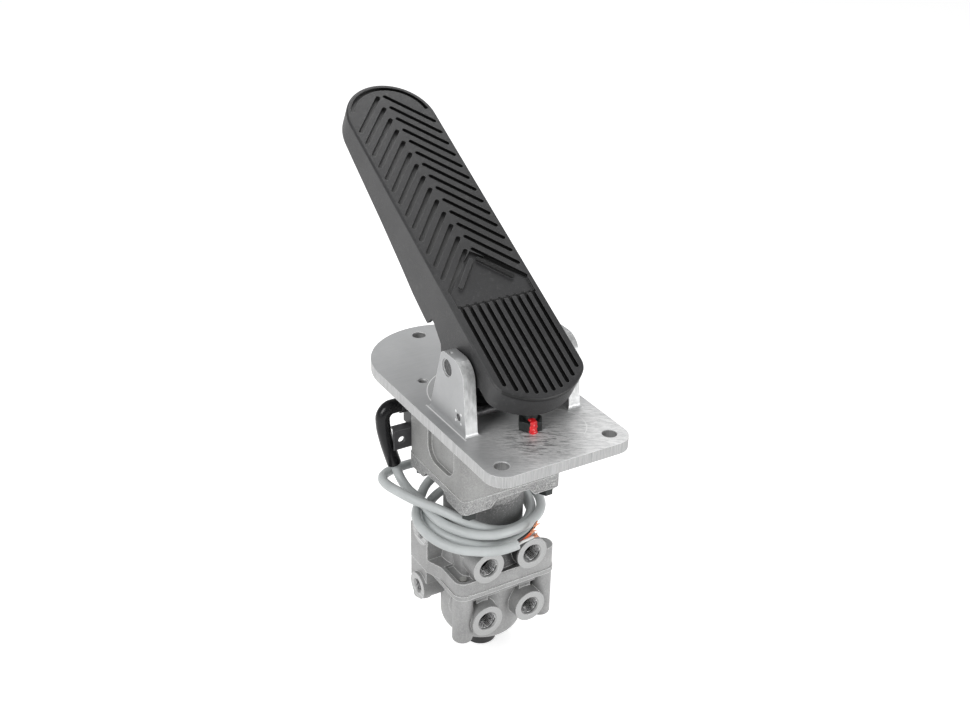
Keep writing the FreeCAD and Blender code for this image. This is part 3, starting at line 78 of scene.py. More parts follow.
def colour(code):
    """Linear red, green, blue and alpha of an sRGB hex value."""
    shares = [int(code[at:at + 2], 16) / 255 for at in (1, 3, 5)]
    linear = [s / 12.92 if s <= 0.04045 else ((s + 0.055) / 1.055) ** 2.4 for s in shares]
    return (*linear, 1.0)


def add(tree, kind, *values, out=0, **named):
    """Adds a node with its settings and links, and gives the output asked for.

    Names in small letters are settings, and names with a capital are sockets.
    Values without a name fill the sockets in use from the first on, and a
    value that is another node's output is linked. out=None gives them all.
    """
    made = tree.nodes.new(kind)
    for name, value in named.items():
        if name[0].islower():
            setattr(made, name, value)
    in_use = [socket for socket in made.inputs if socket.enabled]
    fed = list(zip(in_use, values))
    for name, value in named.items():
        if name[0].isupper():
            fed.append((made.inputs[name.replace("_", " ")], value))
    for socket, value in fed:
        if isinstance(value, bpy.types.NodeSocket):
            tree.links.new(value, socket)
        else:
            socket.default_value = value
    if isinstance(out, str):
        return made.outputs[out]
    given = [socket for socket in made.outputs if socket.enabled]
    return given if out is None else given[out]


def new_finish(name, metal=0.0, gloss=0.5):
    """A material with one shader and the object's own coordinates."""
    finish = bpy.data.materials.new(name)
    finish.use_nodes = True
    tree = finish.node_tree
    shader = tree.nodes["Principled BSDF"]
    shader.inputs["Metallic"].default_value = metal
    shader.inputs["Roughness"].default_value = gloss
    return finish, tree, shader, add(tree, "ShaderNodeTexCoord", out="Object")


# Card, sprayed matt white. It has no gloss at all, and it glows as far as the
# camera and polished metal see it, so that it looks as white as lit paper.
paper, tree, shader, place = new_finish("sprayed_card", gloss=0.9)
shader.inputs["Base Color"].default_value = colour("#e5e5e5")
shader.inputs["Specular IOR Level"].default_value = 0.0
seen = add(
    tree, MATH, add(tree, PATHS, out="Is Camera Ray"), add(tree, PATHS, out="Is Glossy Ray"),
    operation="MAXIMUM",
)
shader.inputs["Emission Color"].default_value = colour("#ffffff")
card_glow = 0.62
glow = add(tree, MATH, seen, card_glow, operation="MULTIPLY")
tree.links.new(glow, shader.inputs["Emission Strength"])

sweep_mesh = bpy.data.meshes.new("sweep")
sweep_z = -0.2204
sweep_half = 6.0
sweep_mesh.from_pydata(
    [
        (-sweep_half, -sweep_half, sweep_z), (sweep_half, -sweep_half, sweep_z),
        (sweep_half, sweep_half, sweep_z), (-sweep_half, sweep_half, sweep_z),
    ],
    [], [(0, 1, 2, 3)],
)
sweep_mesh.materials.append(paper)
sweep = bpy.data.objects.new("sweep", sweep_mesh)
scene.collection.objects.link(sweep)

sky = bpy.data.worlds.new("studio_air")
scene.world = sky
sky.use_nodes = True
tree = sky.node_tree
air = tree.nodes["Background"]
air.inputs["Color"].default_value = colour("#ffffff")
air.inputs["Strength"].default_value = 0.42
white = add(tree, "ShaderNodeBackground", colour("#ffffff"), 1.0)
seen = add(
    tree, MATH, add(tree, PATHS, out="Is Camera Ray"), add(tree, PATHS, out="Is Transmission Ray"),
    operation="MAXIMUM",
)
either = add(tree, "ShaderNodeMixShader", seen, air.outputs[0], white)
tree.links.new(either, tree.nodes["World Output"].inputs["Surface"])
scene.view_settings.view_transform = "Standard"


def soft_lamp(name, place, target, size, power):
    """A square softbox that points at a spot on the valve."""
    data = bpy.data.lights.new(name, "AREA")
    data.shape = "SQUARE"
    data.size = size
    data.energy = power
    lamp = bpy.data.objects.new(name, data)
    scene.collection.objects.link(lamp)
    lamp.location = place
    aim = Vector(target) - Vector(place)
    lamp.rotation_euler = aim.to_track_quat("-Z", "Y").to_euler()


soft_lamp("key_left", (-1.5, -0.5, 0.95), (0, 0, 0), 0.9, 17.0)
soft_lamp("front_right", (0.9, -1.5, 0.2), (0, 0, -0.05), 0.7, 11.0)
soft_lamp("top_back", (0.5, 1.0, 1.5), (0, 0, 0.05), 1.0, 12.0)

# Mounting plate. One piece of aluminium with two ears, ground flat on top,
# sawn round its rim and drilled; the ears carry the pedal's pivot pin.

NOISE = "ShaderNodeTexNoise"
MAPPING = "ShaderNodeMapping"
RANGE = "ShaderNodeMapRange"
MIX = "ShaderNodeMix"
BUMP = "ShaderNodeBump"
BEVEL = "ShaderNodeBevel"
SPLIT = "ShaderNodeSeparateXYZ"
GEOMETRY = "ShaderNodeNewGeometry"
ears_outer = 0.0475
plate_top = 0.0086


def scale_for(*sizes):
    """Pattern scale for marks of these sizes in millimetres."""
    scales = tuple(1000.0 / size for size in sizes)
    return scales if len(scales) > 1 else scales[0]


def streaked(tree, place, *sizes, **named):
    """Noise with marks of these millimetres along x, y and z."""
    stretched = add(tree, MAPPING, Vector=place, Scale=scale_for(*sizes))
    return add(tree, NOISE, Vector=stretched, Scale=1.0, **named)


def patched(tree, pattern, low, high, ground, patch, most=1.0):
    """Lays one tone over another where a pattern goes from low to high."""
    share = add(tree, RANGE, pattern, low, high, 0.0, most)
    return add(tree, MIX, share, ground, patch, data_type="RGBA")


def edge_wear_and_highlight(tree, radius, strength=1.0):
    """How close a point is to an edge, convex or hollow, where it is painted bright: partly wear
    from handling, partly painted highlight.
    """
    rounded = add(tree, BEVEL, Radius=radius, samples=4)
    flat = add(tree, GEOMETRY, out="True Normal")
    same = add(tree, "ShaderNodeVectorMath", rounded, flat, operation="DOT_PRODUCT")
    off = add(tree, MATH, 1.0, same, operation="SUBTRACT")
    return add(tree, RANGE, off, 0.02, 0.11, 0.0, strength)


def ring_at(tree, x, y, middle):
    """Distance in plan from a place on the plate."""
    off_x = add(tree, MATH, x, middle[0], operation="SUBTRACT")
    off_y = add(tree, MATH, y, middle[1], operation="SUBTRACT")
    square_x = add(tree, MATH, off_x, off_x, operation="MULTIPLY")
    square_y = add(tree, MATH, off_y, off_y, operation="MULTIPLY")
    return add(tree, MATH, add(tree, MATH, square_x, square_y, operation="ADD"), operation="SQRT")


def dress(names, finish):
    """Gives CAD pieces their finish."""
    for name in names:
        for slot in nodes[name].material_slots:
            slot.material = finish


# Rolled aluminium, ground on a belt. Fine lines run along it, satin and
# bright where light rakes them. The lines are drawn 0.4 mm apart and the saw's
# 0.45 mm, both coarser than the real ones, so that they show in a render.
plate_finish, tree, shader, place = new_finish("ground_aluminium", metal=0.4, gloss=0.42)
x, y, z = add(tree, SPLIT, place, out=None)
clouds = add(tree, NOISE, Vector=place, Scale=scale_for(35.7), Detail=4.0, Roughness=0.6)
fine_lines = streaked(tree, place, 16.7, 0.385, 2.5, Detail=3.0)
rim = add(tree, MATH, z, plate_top - 0.0003, operation="LESS_THAN")
raised = add(tree, MATH, z, plate_top + 0.0006, operation="GREATER_THAN")

# the front was dressed once more by hand, in strokes that run across it
along_strokes = add(tree, MAPPING, Vector=place, Rotation=(0.0, 0.0, 0.546))
strokes = streaked(tree, along_strokes, 6.67, 0.667, 3.33, Detail=4.0, Roughness=0.8)
gouges = streaked(tree, along_strokes, 9.09, 1.43, 3.33, Detail=3.0, Roughness=0.7)
in_front = add(
    tree, MATH, add(tree, RANGE, y, -0.038, -0.062, 0.0, 1.0),
    add(tree, RANGE, x, -0.05, -0.022, 0.15, 1.0), operation="MULTIPLY",
)
in_front = add(
    tree, MATH, in_front, add(tree, MATH, 1.0, raised, operation="SUBTRACT"), operation="MULTIPLY",
)
before_nut = add(tree, RANGE, ring_at(tree, x, y, (-0.006, -0.078)), 0.034, 0.01, 0.0, 1.0)
top_tone = patched(tree, clouds, 0.3, 0.7, colour("#a4a5a6"), colour("#b1b2b3"))
top_tone = patched(tree, fine_lines, 0.4, 0.65, top_tone, colour("#bfc0c0"), most=0.25)
brushed_tone = patched(tree, strokes, 0.36, 0.6, colour("#bcbdbd"), colour("#f6f6f6"))
scored = add(
    tree, MATH, add(tree, RANGE, gouges, 0.53, 0.58, 0.0, 1.0), before_nut, operation="MULTIPLY",
)
brushed_tone = add(
    tree, MIX, add(tree, MATH, scored, 0.85, operation="MULTIPLY"), brushed_tone, colour("#59595b"),
    data_type="RGBA",
)
top_tone = add(tree, MIX, in_front, top_tone, brushed_tone, data_type="RGBA")
sawn = streaked(tree, place, 0.435, 0.435, 16.7, Detail=3.0, Roughness=0.7)
edge_tone = patched(tree, sawn, 0.34, 0.62, colour("#a2a3a3"), colour("#c4c4c4"))
tone = add(tree, MIX, rim, top_tone, edge_tone, data_type="RGBA")

# ear fronts keep the rough skin that the cutter left, with a painted highlight at their foot
facing = add(tree, GEOMETRY, out="True Normal")
front_facing = add(tree, SPLIT, facing, out="Y")
ear_front = add(
    tree, MATH, raised, add(tree, MATH, front_facing, -0.35, operation="LESS_THAN"),
    operation="MULTIPLY",
)
lumps = streaked(tree, place, 3.03, 3.03, 8.33, Detail=3.0, Roughness=0.6)
ear_tone = patched(tree, lumps, 0.34, 0.66, colour("#b5b6b6"), colour("#dadbdb"))
# painted highlight: the ear fronts lighten towards their foot
painted_foot_highlight = add(tree, RANGE, z, plate_top + 0.016, plate_top + 0.007, 0.0, 0.85)
ear_tone = add(tree, MIX, painted_foot_highlight, ear_tone, colour("#f9fafa"), data_type="RGBA")
tone = add(tree, MIX, ear_front, tone, ear_tone, data_type="RGBA")

# painted highlights: a bright line along the ledge beside each ear and an arc along the right ear's
# foot fillet; and a bright ring round the valve behind its axis
out_x = add(tree, MATH, x, operation="ABSOLUTE")
ledge_line_x = 0.0489
foot_x = add(
    tree, MATH, add(tree, MATH, out_x, ledge_line_x, operation="SUBTRACT"), operation="ABSOLUTE",
)
painted_ledge_highlight = add(
    tree, MATH, add(tree, MATH, foot_x, 0.0006, operation="LESS_THAN"),
    add(tree, MATH, y, -0.056, operation="GREATER_THAN"), operation="MULTIPLY",
)
painted_ledge_highlight = add(
    tree, MATH, painted_ledge_highlight, add(tree, MATH, y, 0.002, operation="LESS_THAN"), operation="MULTIPLY",
)
valve_ring, ear_ring = 0.0432, 0.024
round_valve = add(
    tree, MATH, add(tree, MATH, ring_at(tree, x, y, (0.0, 0.0)), valve_ring, operation="SUBTRACT"),
    operation="ABSOLUTE",
)
bright_rear_ring = add(
    tree, MATH, add(tree, MATH, round_valve, 0.0004, operation="LESS_THAN"),
    add(tree, MATH, y, 0.0, operation="GREATER_THAN"), operation="MULTIPLY",
)
round_ear = add(
    tree, MATH,
    add(tree, MATH, ring_at(tree, x, y, (0.015, -0.067)), ear_ring, operation="SUBTRACT"),
    operation="ABSOLUTE",
)
painted_fillet_highlight = add(
    tree, MATH, add(tree, MATH, round_ear, 0.0004, operation="LESS_THAN"),
    add(tree, MATH, x, 0.028, operation="GREATER_THAN"), operation="MULTIPLY",
)
highlights_and_ring = add(
    tree, MATH,
    add(
        tree, MATH, painted_ledge_highlight, add(tree, MATH, bright_rear_ring, painted_fillet_highlight, operation="MAXIMUM"),
        operation="MAXIMUM",
    ),
    0.7, operation="MULTIPLY",
)
flat_top = add(
    tree, MATH, add(tree, MATH, 1.0, rim, operation="SUBTRACT"),
    add(tree, MATH, 1.0, raised, operation="SUBTRACT"), operation="MULTIPLY",
)
# the painted highlights and the ring, near white, on the flat top only
tone = add(
    tree, MIX, add(tree, MATH, highlights_and_ring, flat_top, operation="MULTIPLY"), tone, colour("#f6f6f6"),
    data_type="RGBA",
)

# drilled holes are painted dark inside as shade, with a bright broken edge
hole_edge = 0.0054
front_hole = ring_at(tree, out_x, y, (0.044, -0.095))
rear_hole = ring_at(tree, x, y, (0.0, 0.1045))
hole = add(tree, MATH, front_hole, rear_hole, operation="MINIMUM")
bored = add(
    tree, MATH, add(tree, MATH, hole, hole_edge, operation="LESS_THAN"),
    add(tree, MATH, z, plate_top - 0.0004, operation="LESS_THAN"), operation="MULTIPLY",
)
tone = add(
    tree, MIX, add(tree, MATH, bored, 0.7, operation="MULTIPLY"), tone, colour("#737373"),
    data_type="RGBA",
)
# edges and hollow joins painted near white: partly wear, partly painted highlight
tone = add(tree, MIX, edge_wear_and_highlight(tree, 0.0007, 0.9), tone, colour("#f7f8f8"), data_type="RGBA")
tree.links.new(add(tree, RANGE, in_front, 0.0, 1.0, 0.4, 0.52), shader.inputs["Roughness"])
tree.links.new(add(tree, RANGE, in_front, 0.0, 1.0, 0.4, 0.25), shader.inputs["Metallic"])
broken = add(tree, BEVEL, Radius=0.0005, samples=4)
fine = add(tree, BUMP, Height=fine_lines, Distance=0.00004, Normal=broken)
fine = add(
    tree, BUMP, Height=add(tree, MATH, strokes, in_front, operation="MULTIPLY"), Distance=0.00014,
    Normal=fine,
)
fine = add(
    tree, BUMP, Height=add(tree, MATH, sawn, rim, operation="MULTIPLY"), Distance=0.00012,
    Normal=fine,
)
fine = add(
    tree, BUMP, Height=add(tree, MATH, lumps, ear_front, operation="MULTIPLY"), Distance=0.0004,
    Normal=fine,
)

# four punch marks hold the cross pin in each ear
pin_y, pin_z = -0.0425, 0.0202
punch_off, punch_radius = 0.0036, 0.0011
off_y = add(tree, MATH, add(tree, MATH, y, pin_y, operation="SUBTRACT"), operation="ABSOLUTE")
off_z = add(tree, MATH, add(tree, MATH, z, pin_z, operation="SUBTRACT"), operation="ABSOLUTE")
across = add(tree, MATH, off_y, punch_off, operation="SUBTRACT")
along = add(tree, MATH, off_z, punch_off, operation="SUBTRACT")
spot = add(
    tree, MATH,
    add(
        tree, MATH, add(tree, MATH, across, across, operation="MULTIPLY"),
        add(tree, MATH, along, along, operation="MULTIPLY"), operation="ADD",
    ),
    operation="SQRT",
)
punched = add(
    tree, MATH, add(tree, MATH, spot, punch_radius, operation="LESS_THAN"),
    add(tree, MATH, out_x, ears_outer - 0.0006, operation="GREATER_THAN"), operation="MULTIPLY",
)
bumps = add(
    tree, BUMP, Height=add(tree, MATH, 1.0, punched, operation="SUBTRACT"), Distance=0.0006,
    Normal=fine,
)
tree.links.new(bumps, shader.inputs["Normal"])
shown = add(
    tree, MIX, add(tree, MATH, punched, 0.8, operation="MULTIPLY"), tone, colour("#fcfcfc"),
    data_type="RGBA",
)
tree.links.new(shown, shader.inputs["Base Color"])
dress(["mounting_plate"], plate_finish)

# Upper housing and the two valve bodies. Die cast aluminium, left grey and
# grainy, with bright turned faces and tapped holes where the pipes screw in.

port_x = 0.0193
port_z = (-0.1187, -0.1689)
port_face_y = -0.0425
lug_y = 0.012
lug_z = (-0.108, -0.159)
lug_face_x = (-0.0495, -0.0515)
bore_radius = 0.0084
bore_end_y = -0.0275
bodies_top_z = -0.09
between_lugs_z = -0.13
pocket_z = -0.1175
pocket_y = (-0.0405, 0.0)
neck_top_z = -0.073


def cast_finish(name, dark, light, gloss):
    """Die cast aluminium, blasted clean, and bright where a tool turned it.

    The grain of the blasting makes it dull and grey, with painted glints, and its
    edges are painted bright, partly as wear and partly as painted highlight. Painted
    shade darkens its bores, the pocket between the ports and the neck. The grain is
    drawn 0.7 mm wide, twice the real one, so that it shows.
    """
    finish, tree, shader, place = new_finish(name, metal=0.55, gloss=gloss)
    x, y, z = add(tree, SPLIT, place, out=None)
    clouds = add(tree, NOISE, Vector=place, Scale=scale_for(29.4), Detail=4.0, Roughness=0.6)
    skin = add(tree, NOISE, Vector=place, Scale=scale_for(0.667), Detail=3.0, Roughness=0.6)
    flow = streaked(tree, place, 16.7, 16.7, 71.4, Detail=3.0)
    tone = patched(tree, clouds, 0.3, 0.7, dark, light)
    stained = add(tree, RANGE, flow, 0.52, 0.75, 0.0, 0.35)
    tone = add(tree, MIX, stained, tone, colour("#727272"), data_type="RGBA")
    tone = patched(tree, skin, 0.35, 0.65, tone, colour("#bbbbba"), most=0.3)

    # distance from the nearest port's axis: its bore and its faces are turned
    middle_z = sum(port_z) / 2
    half_z = (port_z[0] - port_z[1]) / 2
    aside = add(tree, MATH, add(tree, MATH, x, operation="ABSOLUTE"), port_x, operation="SUBTRACT")
    level = add(
        tree, MATH,
        add(tree, MATH, add(tree, MATH, z, middle_z, operation="SUBTRACT"), operation="ABSOLUTE"),
        half_z, operation="SUBTRACT",
    )
    reach = add(
        tree, MATH,
        add(
            tree, MATH, add(tree, MATH, aside, aside, operation="MULTIPLY"),
            add(tree, MATH, level, level, operation="MULTIPLY"), operation="ADD",
        ),
        operation="SQRT",
    )
    bored = add(
        tree, MATH, add(tree, MATH, reach, bore_radius, operation="LESS_THAN"),
        add(tree, MATH, y, bore_end_y, operation="LESS_THAN"), operation="MULTIPLY",
    )
    low_down = add(tree, MATH, z, bodies_top_z, operation="LESS_THAN")
    faced = add(
        tree, MATH, low_down, add(tree, MATH, y, port_face_y + 0.0001, operation="LESS_THAN"),
        operation="MULTIPLY",
    )
    lug = add(tree, MATH, x, lug_face_x[1] + 0.0001, operation="LESS_THAN")
    upper_lug = add(
        tree, MATH, add(tree, MATH, x, lug_face_x[0] + 0.0001, operation="LESS_THAN"),
        add(tree, MATH, z, between_lugs_z, operation="GREATER_THAN"), operation="MULTIPLY",
    )
    turned = add(
        tree, MATH, add(tree, MATH, bored, faced, operation="MAXIMUM"),
        add(tree, MATH, lug, upper_lug, operation="MAXIMUM"), operation="MAXIMUM",
    )
    ringed = add(tree, NOISE, noise_dimensions="1D", W=reach, Scale=scale_for(0.238))
    bright = patched(tree, ringed, 0.35, 0.65, colour("#999a99"), colour("#bcbcbc"))
    # painted shade: the bore walls darken behind each turned face
    painted_bore_shade = add(
        tree, MATH, bored, add(tree, RANGE, y, port_face_y + 0.0002, port_face_y + 0.003, 0.0, 0.9),
        operation="MULTIPLY",
    )
    bright = add(tree, MIX, painted_bore_shade, bright, colour("#353535"), data_type="RGBA")

    # painted shade darkens the pocket between the upper ports, and the neck under the housing
    gap_x = add(tree, RANGE, add(tree, MATH, x, operation="ABSOLUTE"), 0.0105, 0.0075, 0.0, 1.0)
    from_middle = add(
        tree, MATH, add(tree, MATH, z, pocket_z, operation="SUBTRACT"), operation="ABSOLUTE",
    )
    gap_z = add(tree, RANGE, from_middle, 0.0135, 0.01, 0.0, 1.0)
    painted_pocket_shade = add(
        tree, MATH, add(tree, MATH, gap_x, gap_z, operation="MULTIPLY"),
        add(tree, MATH, y, pocket_y[0], operation="GREATER_THAN"), operation="MULTIPLY",
    )
    painted_pocket_shade = add(
        tree, MATH, painted_pocket_shade, add(tree, MATH, y, pocket_y[1], operation="LESS_THAN"),
        operation="MULTIPLY",
    )
    tone = add(
        tree, MIX, add(tree, MATH, painted_pocket_shade, 0.9, operation="MULTIPLY"), tone, colour("#3c3c3d"),
        data_type="RGBA",
    )
    painted_neck_shade = add(
        tree, MATH, add(tree, RANGE, z, -0.104, -0.1, 0.0, 0.55),
        add(tree, MATH, z, neck_top_z, operation="LESS_THAN"), operation="MULTIPLY",
    )
    tone = add(tree, MIX, painted_neck_shade, tone, colour("#525354"), data_type="RGBA")

    # dark pits and painted glints, fine on the bodies and coarse on the housing's skirt
    speckle = add(tree, NOISE, Vector=place, Scale=scale_for(1.32), Detail=3.0, Roughness=0.8)
    high_up = add(
        tree, MATH, add(tree, RANGE, z, -0.082, -0.074, 0.0, 1.0),
        add(tree, RANGE, z, -0.05, -0.058, 0.0, 1.0), operation="MULTIPLY",
    )
    coarse = add(tree, RANGE, high_up, 0.0, 1.0, 0.16, 0.66)
    pitted = add(
        tree, MATH, add(tree, RANGE, speckle, 0.5, 0.6, 0.0, 1.0), coarse, operation="MULTIPLY",
    )
    tone = add(tree, MIX, pitted, tone, colour("#5d5d5d"), data_type="RGBA")
    painted_glint = add(
        tree, MATH, add(tree, RANGE, speckle, 0.44, 0.36, 0.0, 1.0), coarse, operation="MULTIPLY",
    )
    tone = add(tree, MIX, painted_glint, tone, colour("#dadad8"), data_type="RGBA")
    # edges and hollow joins painted near white: partly wear, partly painted highlight
    tone = add(tree, MIX, edge_wear_and_highlight(tree, 0.0011, 0.95), tone, colour("#f9faf9"), data_type="RGBA")
    tone = add(tree, MIX, turned, tone, bright, data_type="RGBA")
    tree.links.new(tone, shader.inputs["Base Color"])
    tree.links.new(add(tree, RANGE, turned, 0.0, 1.0, gloss, 0.3), shader.inputs["Roughness"])
    tree.links.new(add(tree, RANGE, turned, 0.0, 1.0, 0.4, 0.75), shader.inputs["Metallic"])

    # grain, pits and turned rings also stand up as fine relief
    broken = add(tree, BEVEL, Radius=0.0006, samples=4)
    rough_height = add(
        tree, MATH, skin, add(tree, MATH, 1.0, turned, operation="SUBTRACT"), operation="MULTIPLY",
    )
    fine = add(tree, BUMP, Height=rough_height, Distance=0.00022, Normal=broken)
    fine = add(
        tree, BUMP, Height=add(tree, MATH, speckle, coarse, operation="MULTIPLY"), Distance=0.0006,
        Normal=fine,
    )
    ring_height = add(tree, MATH, ringed, turned, operation="MULTIPLY")
    bumps = add(tree, BUMP, Height=ring_height, Distance=0.00005, Normal=fine)
    tree.links.new(bumps, shader.inputs["Normal"])
    return finish


housing_cast = cast_finish("die_cast_aluminium_housing", colour("#8e8e8d"), colour("#a8a8a7"), 0.5)
body_cast = cast_finish("die_cast_aluminium_body", colour("#8e8e8e"), colour("#aaaaaa"), 0.46)
dress(["upper_housing"], housing_cast)
dress(["valve_body_upper", "valve_body_lower"], body_cast)

# Pipe threads. A tap cut them into the bored holes, so each one is a fine
# ridge that winds along the wall, with bright crests.


def socket_in(group, name, kind, value=None):
    """A named input of a tree, with its usual size."""
    socket = group.interface.new_socket(name, in_out="INPUT", socket_type=kind)
    if value is not None:
        socket.default_value = value


def thread_tree():
    """Winds one ridge up a wall and sets a copy of it at each point."""
    group = bpy.data.node_groups.new("tapped_thread", "GeometryNodeTree")
    socket_in(group, "Holes", "NodeSocketGeometry")
    socket_in(group, "Wall radius", "NodeSocketFloat", 0.00725)
    socket_in(group, "Pitch", "NodeSocketFloat", 0.0015)
    socket_in(group, "Turns", "NodeSocketFloat", 7.0)
    socket_in(group, "Ridge", "NodeSocketFloat", 0.0006)
    socket_in(group, "Axis turn", "NodeSocketVector", (0.0, 0.0, 0.0))
    socket_in(group, "Metal", "NodeSocketMaterial")
    group.interface.new_socket("Threads", in_out="OUTPUT", socket_type="NodeSocketGeometry")
    start = group.nodes.new("NodeGroupInput").outputs
    rise = add(group, MATH, start["Pitch"], start["Turns"], operation="MULTIPLY")
    spiral = add(
        group, "GeometryNodeCurveSpiral", Resolution=40, Rotations=start["Turns"],
        Start_Radius=start["Wall radius"], End_Radius=start["Wall radius"], Height=rise,
    )
    section = add(group, "GeometryNodeCurvePrimitiveCircle", Resolution=4, Radius=start["Ridge"])
    ridge = add(
        group, "GeometryNodeCurveToMesh", Curve=spiral, Profile_Curve=section, Fill_Caps=True,
    )
    copies = add(
        group, "GeometryNodeInstanceOnPoints",
        Points=start["Holes"], Instance=ridge, Rotation=start["Axis turn"],
    )
    real = add(group, "GeometryNodeRealizeInstances", copies)
    cut_metal = add(group, "GeometryNodeSetMaterial", Geometry=real, Material=start["Metal"])
    group.links.new(cut_metal, group.nodes.new("NodeGroupOutput").inputs[0])
    return group


def grown(name, group, points, sizes):
    """Runs a tree on a handful of points and keeps the plain mesh."""
    mesh = bpy.data.meshes.new(name + "_points")
    mesh.from_pydata(points, [], [])
    piece = bpy.data.objects.new(name, mesh)
    scene.collection.objects.link(piece)
    modifier = piece.modifiers.new("tree", "NODES")
    modifier.node_group = group
    for item in group.interface.items_tree:
        if item.item_type == "SOCKET" and item.in_out == "INPUT" and item.name in sizes:
            modifier[item.identifier] = sizes[item.name]
    graph = bpy.context.evaluated_depsgraph_get()
    plain = bpy.data.meshes.new_from_object(piece.evaluated_get(graph))
    piece.modifiers.clear()
    piece.data = plain
    return piece


def skinned(tree, shader, height, depth, edge=None):
    """Fine relief on a surface, over edges that are rounded by so much."""
    bumps = add(tree, BUMP, Height=height, Distance=depth)
    if edge:
        tree.links.new(add(tree, BEVEL, Radius=edge, samples=4), bumps.node.inputs["Normal"])
    tree.links.new(bumps, shader.inputs["Normal"])


# Aluminium, freshly cut by the tap, so it is bare and shiny on each crest.
tapped, tree, shader, place = new_finish("tapped_aluminium", metal=0.9, gloss=0.28)
swirl = add(tree, NOISE, Vector=place, Scale=scale_for(1.43))
crests = patched(tree, swirl, 0.35, 0.65, colour("#9e9e9f"), colour("#e7e7e7"))
tree.links.new(crests, shader.inputs["Base Color"])
tree.links.new(add(tree, RANGE, swirl, 0.3, 0.7, 0.22, 0.4), shader.inputs["Roughness"])
skinned(tree, shader, swirl, 0.00004)

thread_group = thread_tree()
port_depth, lug_depth = 0.0118, 0.0098
port_threads = grown(
    "port_threads", thread_group,
    [(sx * port_x, port_face_y + port_depth, z) for sx in (-1, 1) for z in port_z],
    {
        "Wall radius": 0.00722, "Pitch": 0.0015, "Turns": 7.0, "Ridge": 0.00052,
        "Axis turn": (math.pi / 2, 0.0, 0.0), "Metal": tapped,
    },
)
side_threads = grown(
    "side_threads", thread_group,
    [(face_x + lug_depth, lug_y, z) for face_x, z in zip(lug_face_x, lug_z)],
    {
        "Wall radius": 0.00523, "Pitch": 0.0014, "Turns": 6.0, "Ridge": 0.00045,
        "Axis turn": (0.0, -math.pi / 2, 0.0), "Metal": tapped,
    },
)
for piece in (port_threads, side_threads):
    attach(piece, "valve")

# Pistons, inlet valves and springs inside the bodies. Turned aluminium,
# moulded plastic and hard drawn wire, hidden once the valve is closed.

# Aluminium, turned on a lathe: clean and bright, with fine rings round it,
# drawn 0.3 mm apart, coarser than a sharp tool leaves them, so that they show.
turned_finish, tree, shader, place = new_finish("turned_aluminium", metal=0.9, gloss=0.3)
lathe = streaked(tree, place, 50.0, 50.0, 0.333)
tree.links.new(
    patched(tree, lathe, 0.3, 0.7, colour("#bcbdc0"), colour("#dadbde")),
    shader.inputs["Base Color"],
)
skinned(tree, shader, lathe, 0.00004, edge=0.0003)
dress(["primary_piston", "relay_piston"], turned_finish)

# Spring steel, drawn hard through a die: grey, oiled and evenly satin.
wire_finish, tree, shader, place = new_finish("drawn_spring_steel", metal=0.9, gloss=0.35)
drawn = add(tree, NOISE, Vector=place, Scale=scale_for(1.11), Detail=3.0)
tree.links.new(
    add(tree, MIX, drawn, colour("#7c7c7d"), colour("#b5b5b5"), data_type="RGBA"),
    shader.inputs["Base Color"],
)
skinned(tree, shader, drawn, 0.00003)
dress(["retaining_clip"], wire_finish)

# Polyamide, moulded: mid grey with the half gloss of its mould. Its skin, as
# that of the other mouldings, is drawn about 0.6 mm wide so that it shows.
moulded_finish, tree, shader, place = new_finish("moulded_polyamide", gloss=0.45)
skin = add(tree, NOISE, Vector=place, Scale=scale_for(0.556))
tree.links.new(
    add(tree, MIX, skin, colour("#656565"), colour("#818181"), data_type="RGBA"),
    shader.inputs["Base Color"],
)
skinned(tree, shader, skin, 0.00003)
dress(
    ["upper_inlet_valve", "lower_inlet_valve", "valve_retainer", "guide_bush", "roller"],
    moulded_finish,
)

# Rubber parts. The pleated boot over the plunger, its spring block, the
# piston rings and the flap in the exhaust are black moulded rubber.

# Nitrile rubber, moulded: nearly black and dull, with a grey bloom on it. Its
# pores are drawn 0.4 mm wide, coarser than real, so that they show.
rubber_finish, tree, shader, place = new_finish("moulded_rubber", gloss=0.55)
bloom = add(tree, NOISE, Vector=place, Scale=scale_for(8.33), Detail=4.0, Roughness=0.6)
pores = add(tree, NOISE, Vector=place, Scale=scale_for(0.385))
tree.links.new(
    patched(tree, bloom, 0.4, 0.75, colour("#242426"), colour("#3f3f40")),
    shader.inputs["Base Color"],
)
tree.links.new(add(tree, RANGE, bloom, 0.3, 0.7, 0.45, 0.65), shader.inputs["Roughness"])
skinned(tree, shader, pores, 0.00004, edge=0.0004)
dress(["primary_ring", "relay_ring", "exhaust_flap"], rubber_finish)

# Springs and boot that give way. Pleated rubber, a moulded rubber block and
# wound spring wire, each held between two seats. In the valve they get shorter
# as the pedal drives the plunger in; here each is a fixed, smooth shaded copy.


def yielding(node, body, finish):
    """A smooth shaded copy of a soft or sprung part, hung on its body in place of the CAD piece."""
    shape = bmesh.new()
    shape.from_mesh(nodes[node].data)
    bmesh.ops.remove_doubles(shape, verts=shape.verts, dist=0.000001)
    data = bpy.data.meshes.new(node + "_soft")
    shape.to_mesh(data)
    shape.free()
    for face in data.polygons:
        face.use_smooth = True
    data.set_sharp_from_angle(angle=math.radians(32))
    data.materials.append(finish)
    piece = bpy.data.objects.new(node + "_soft", data)
    scene.collection.objects.link(piece)
    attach(piece, body)
    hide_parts(node)
    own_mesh(piece)


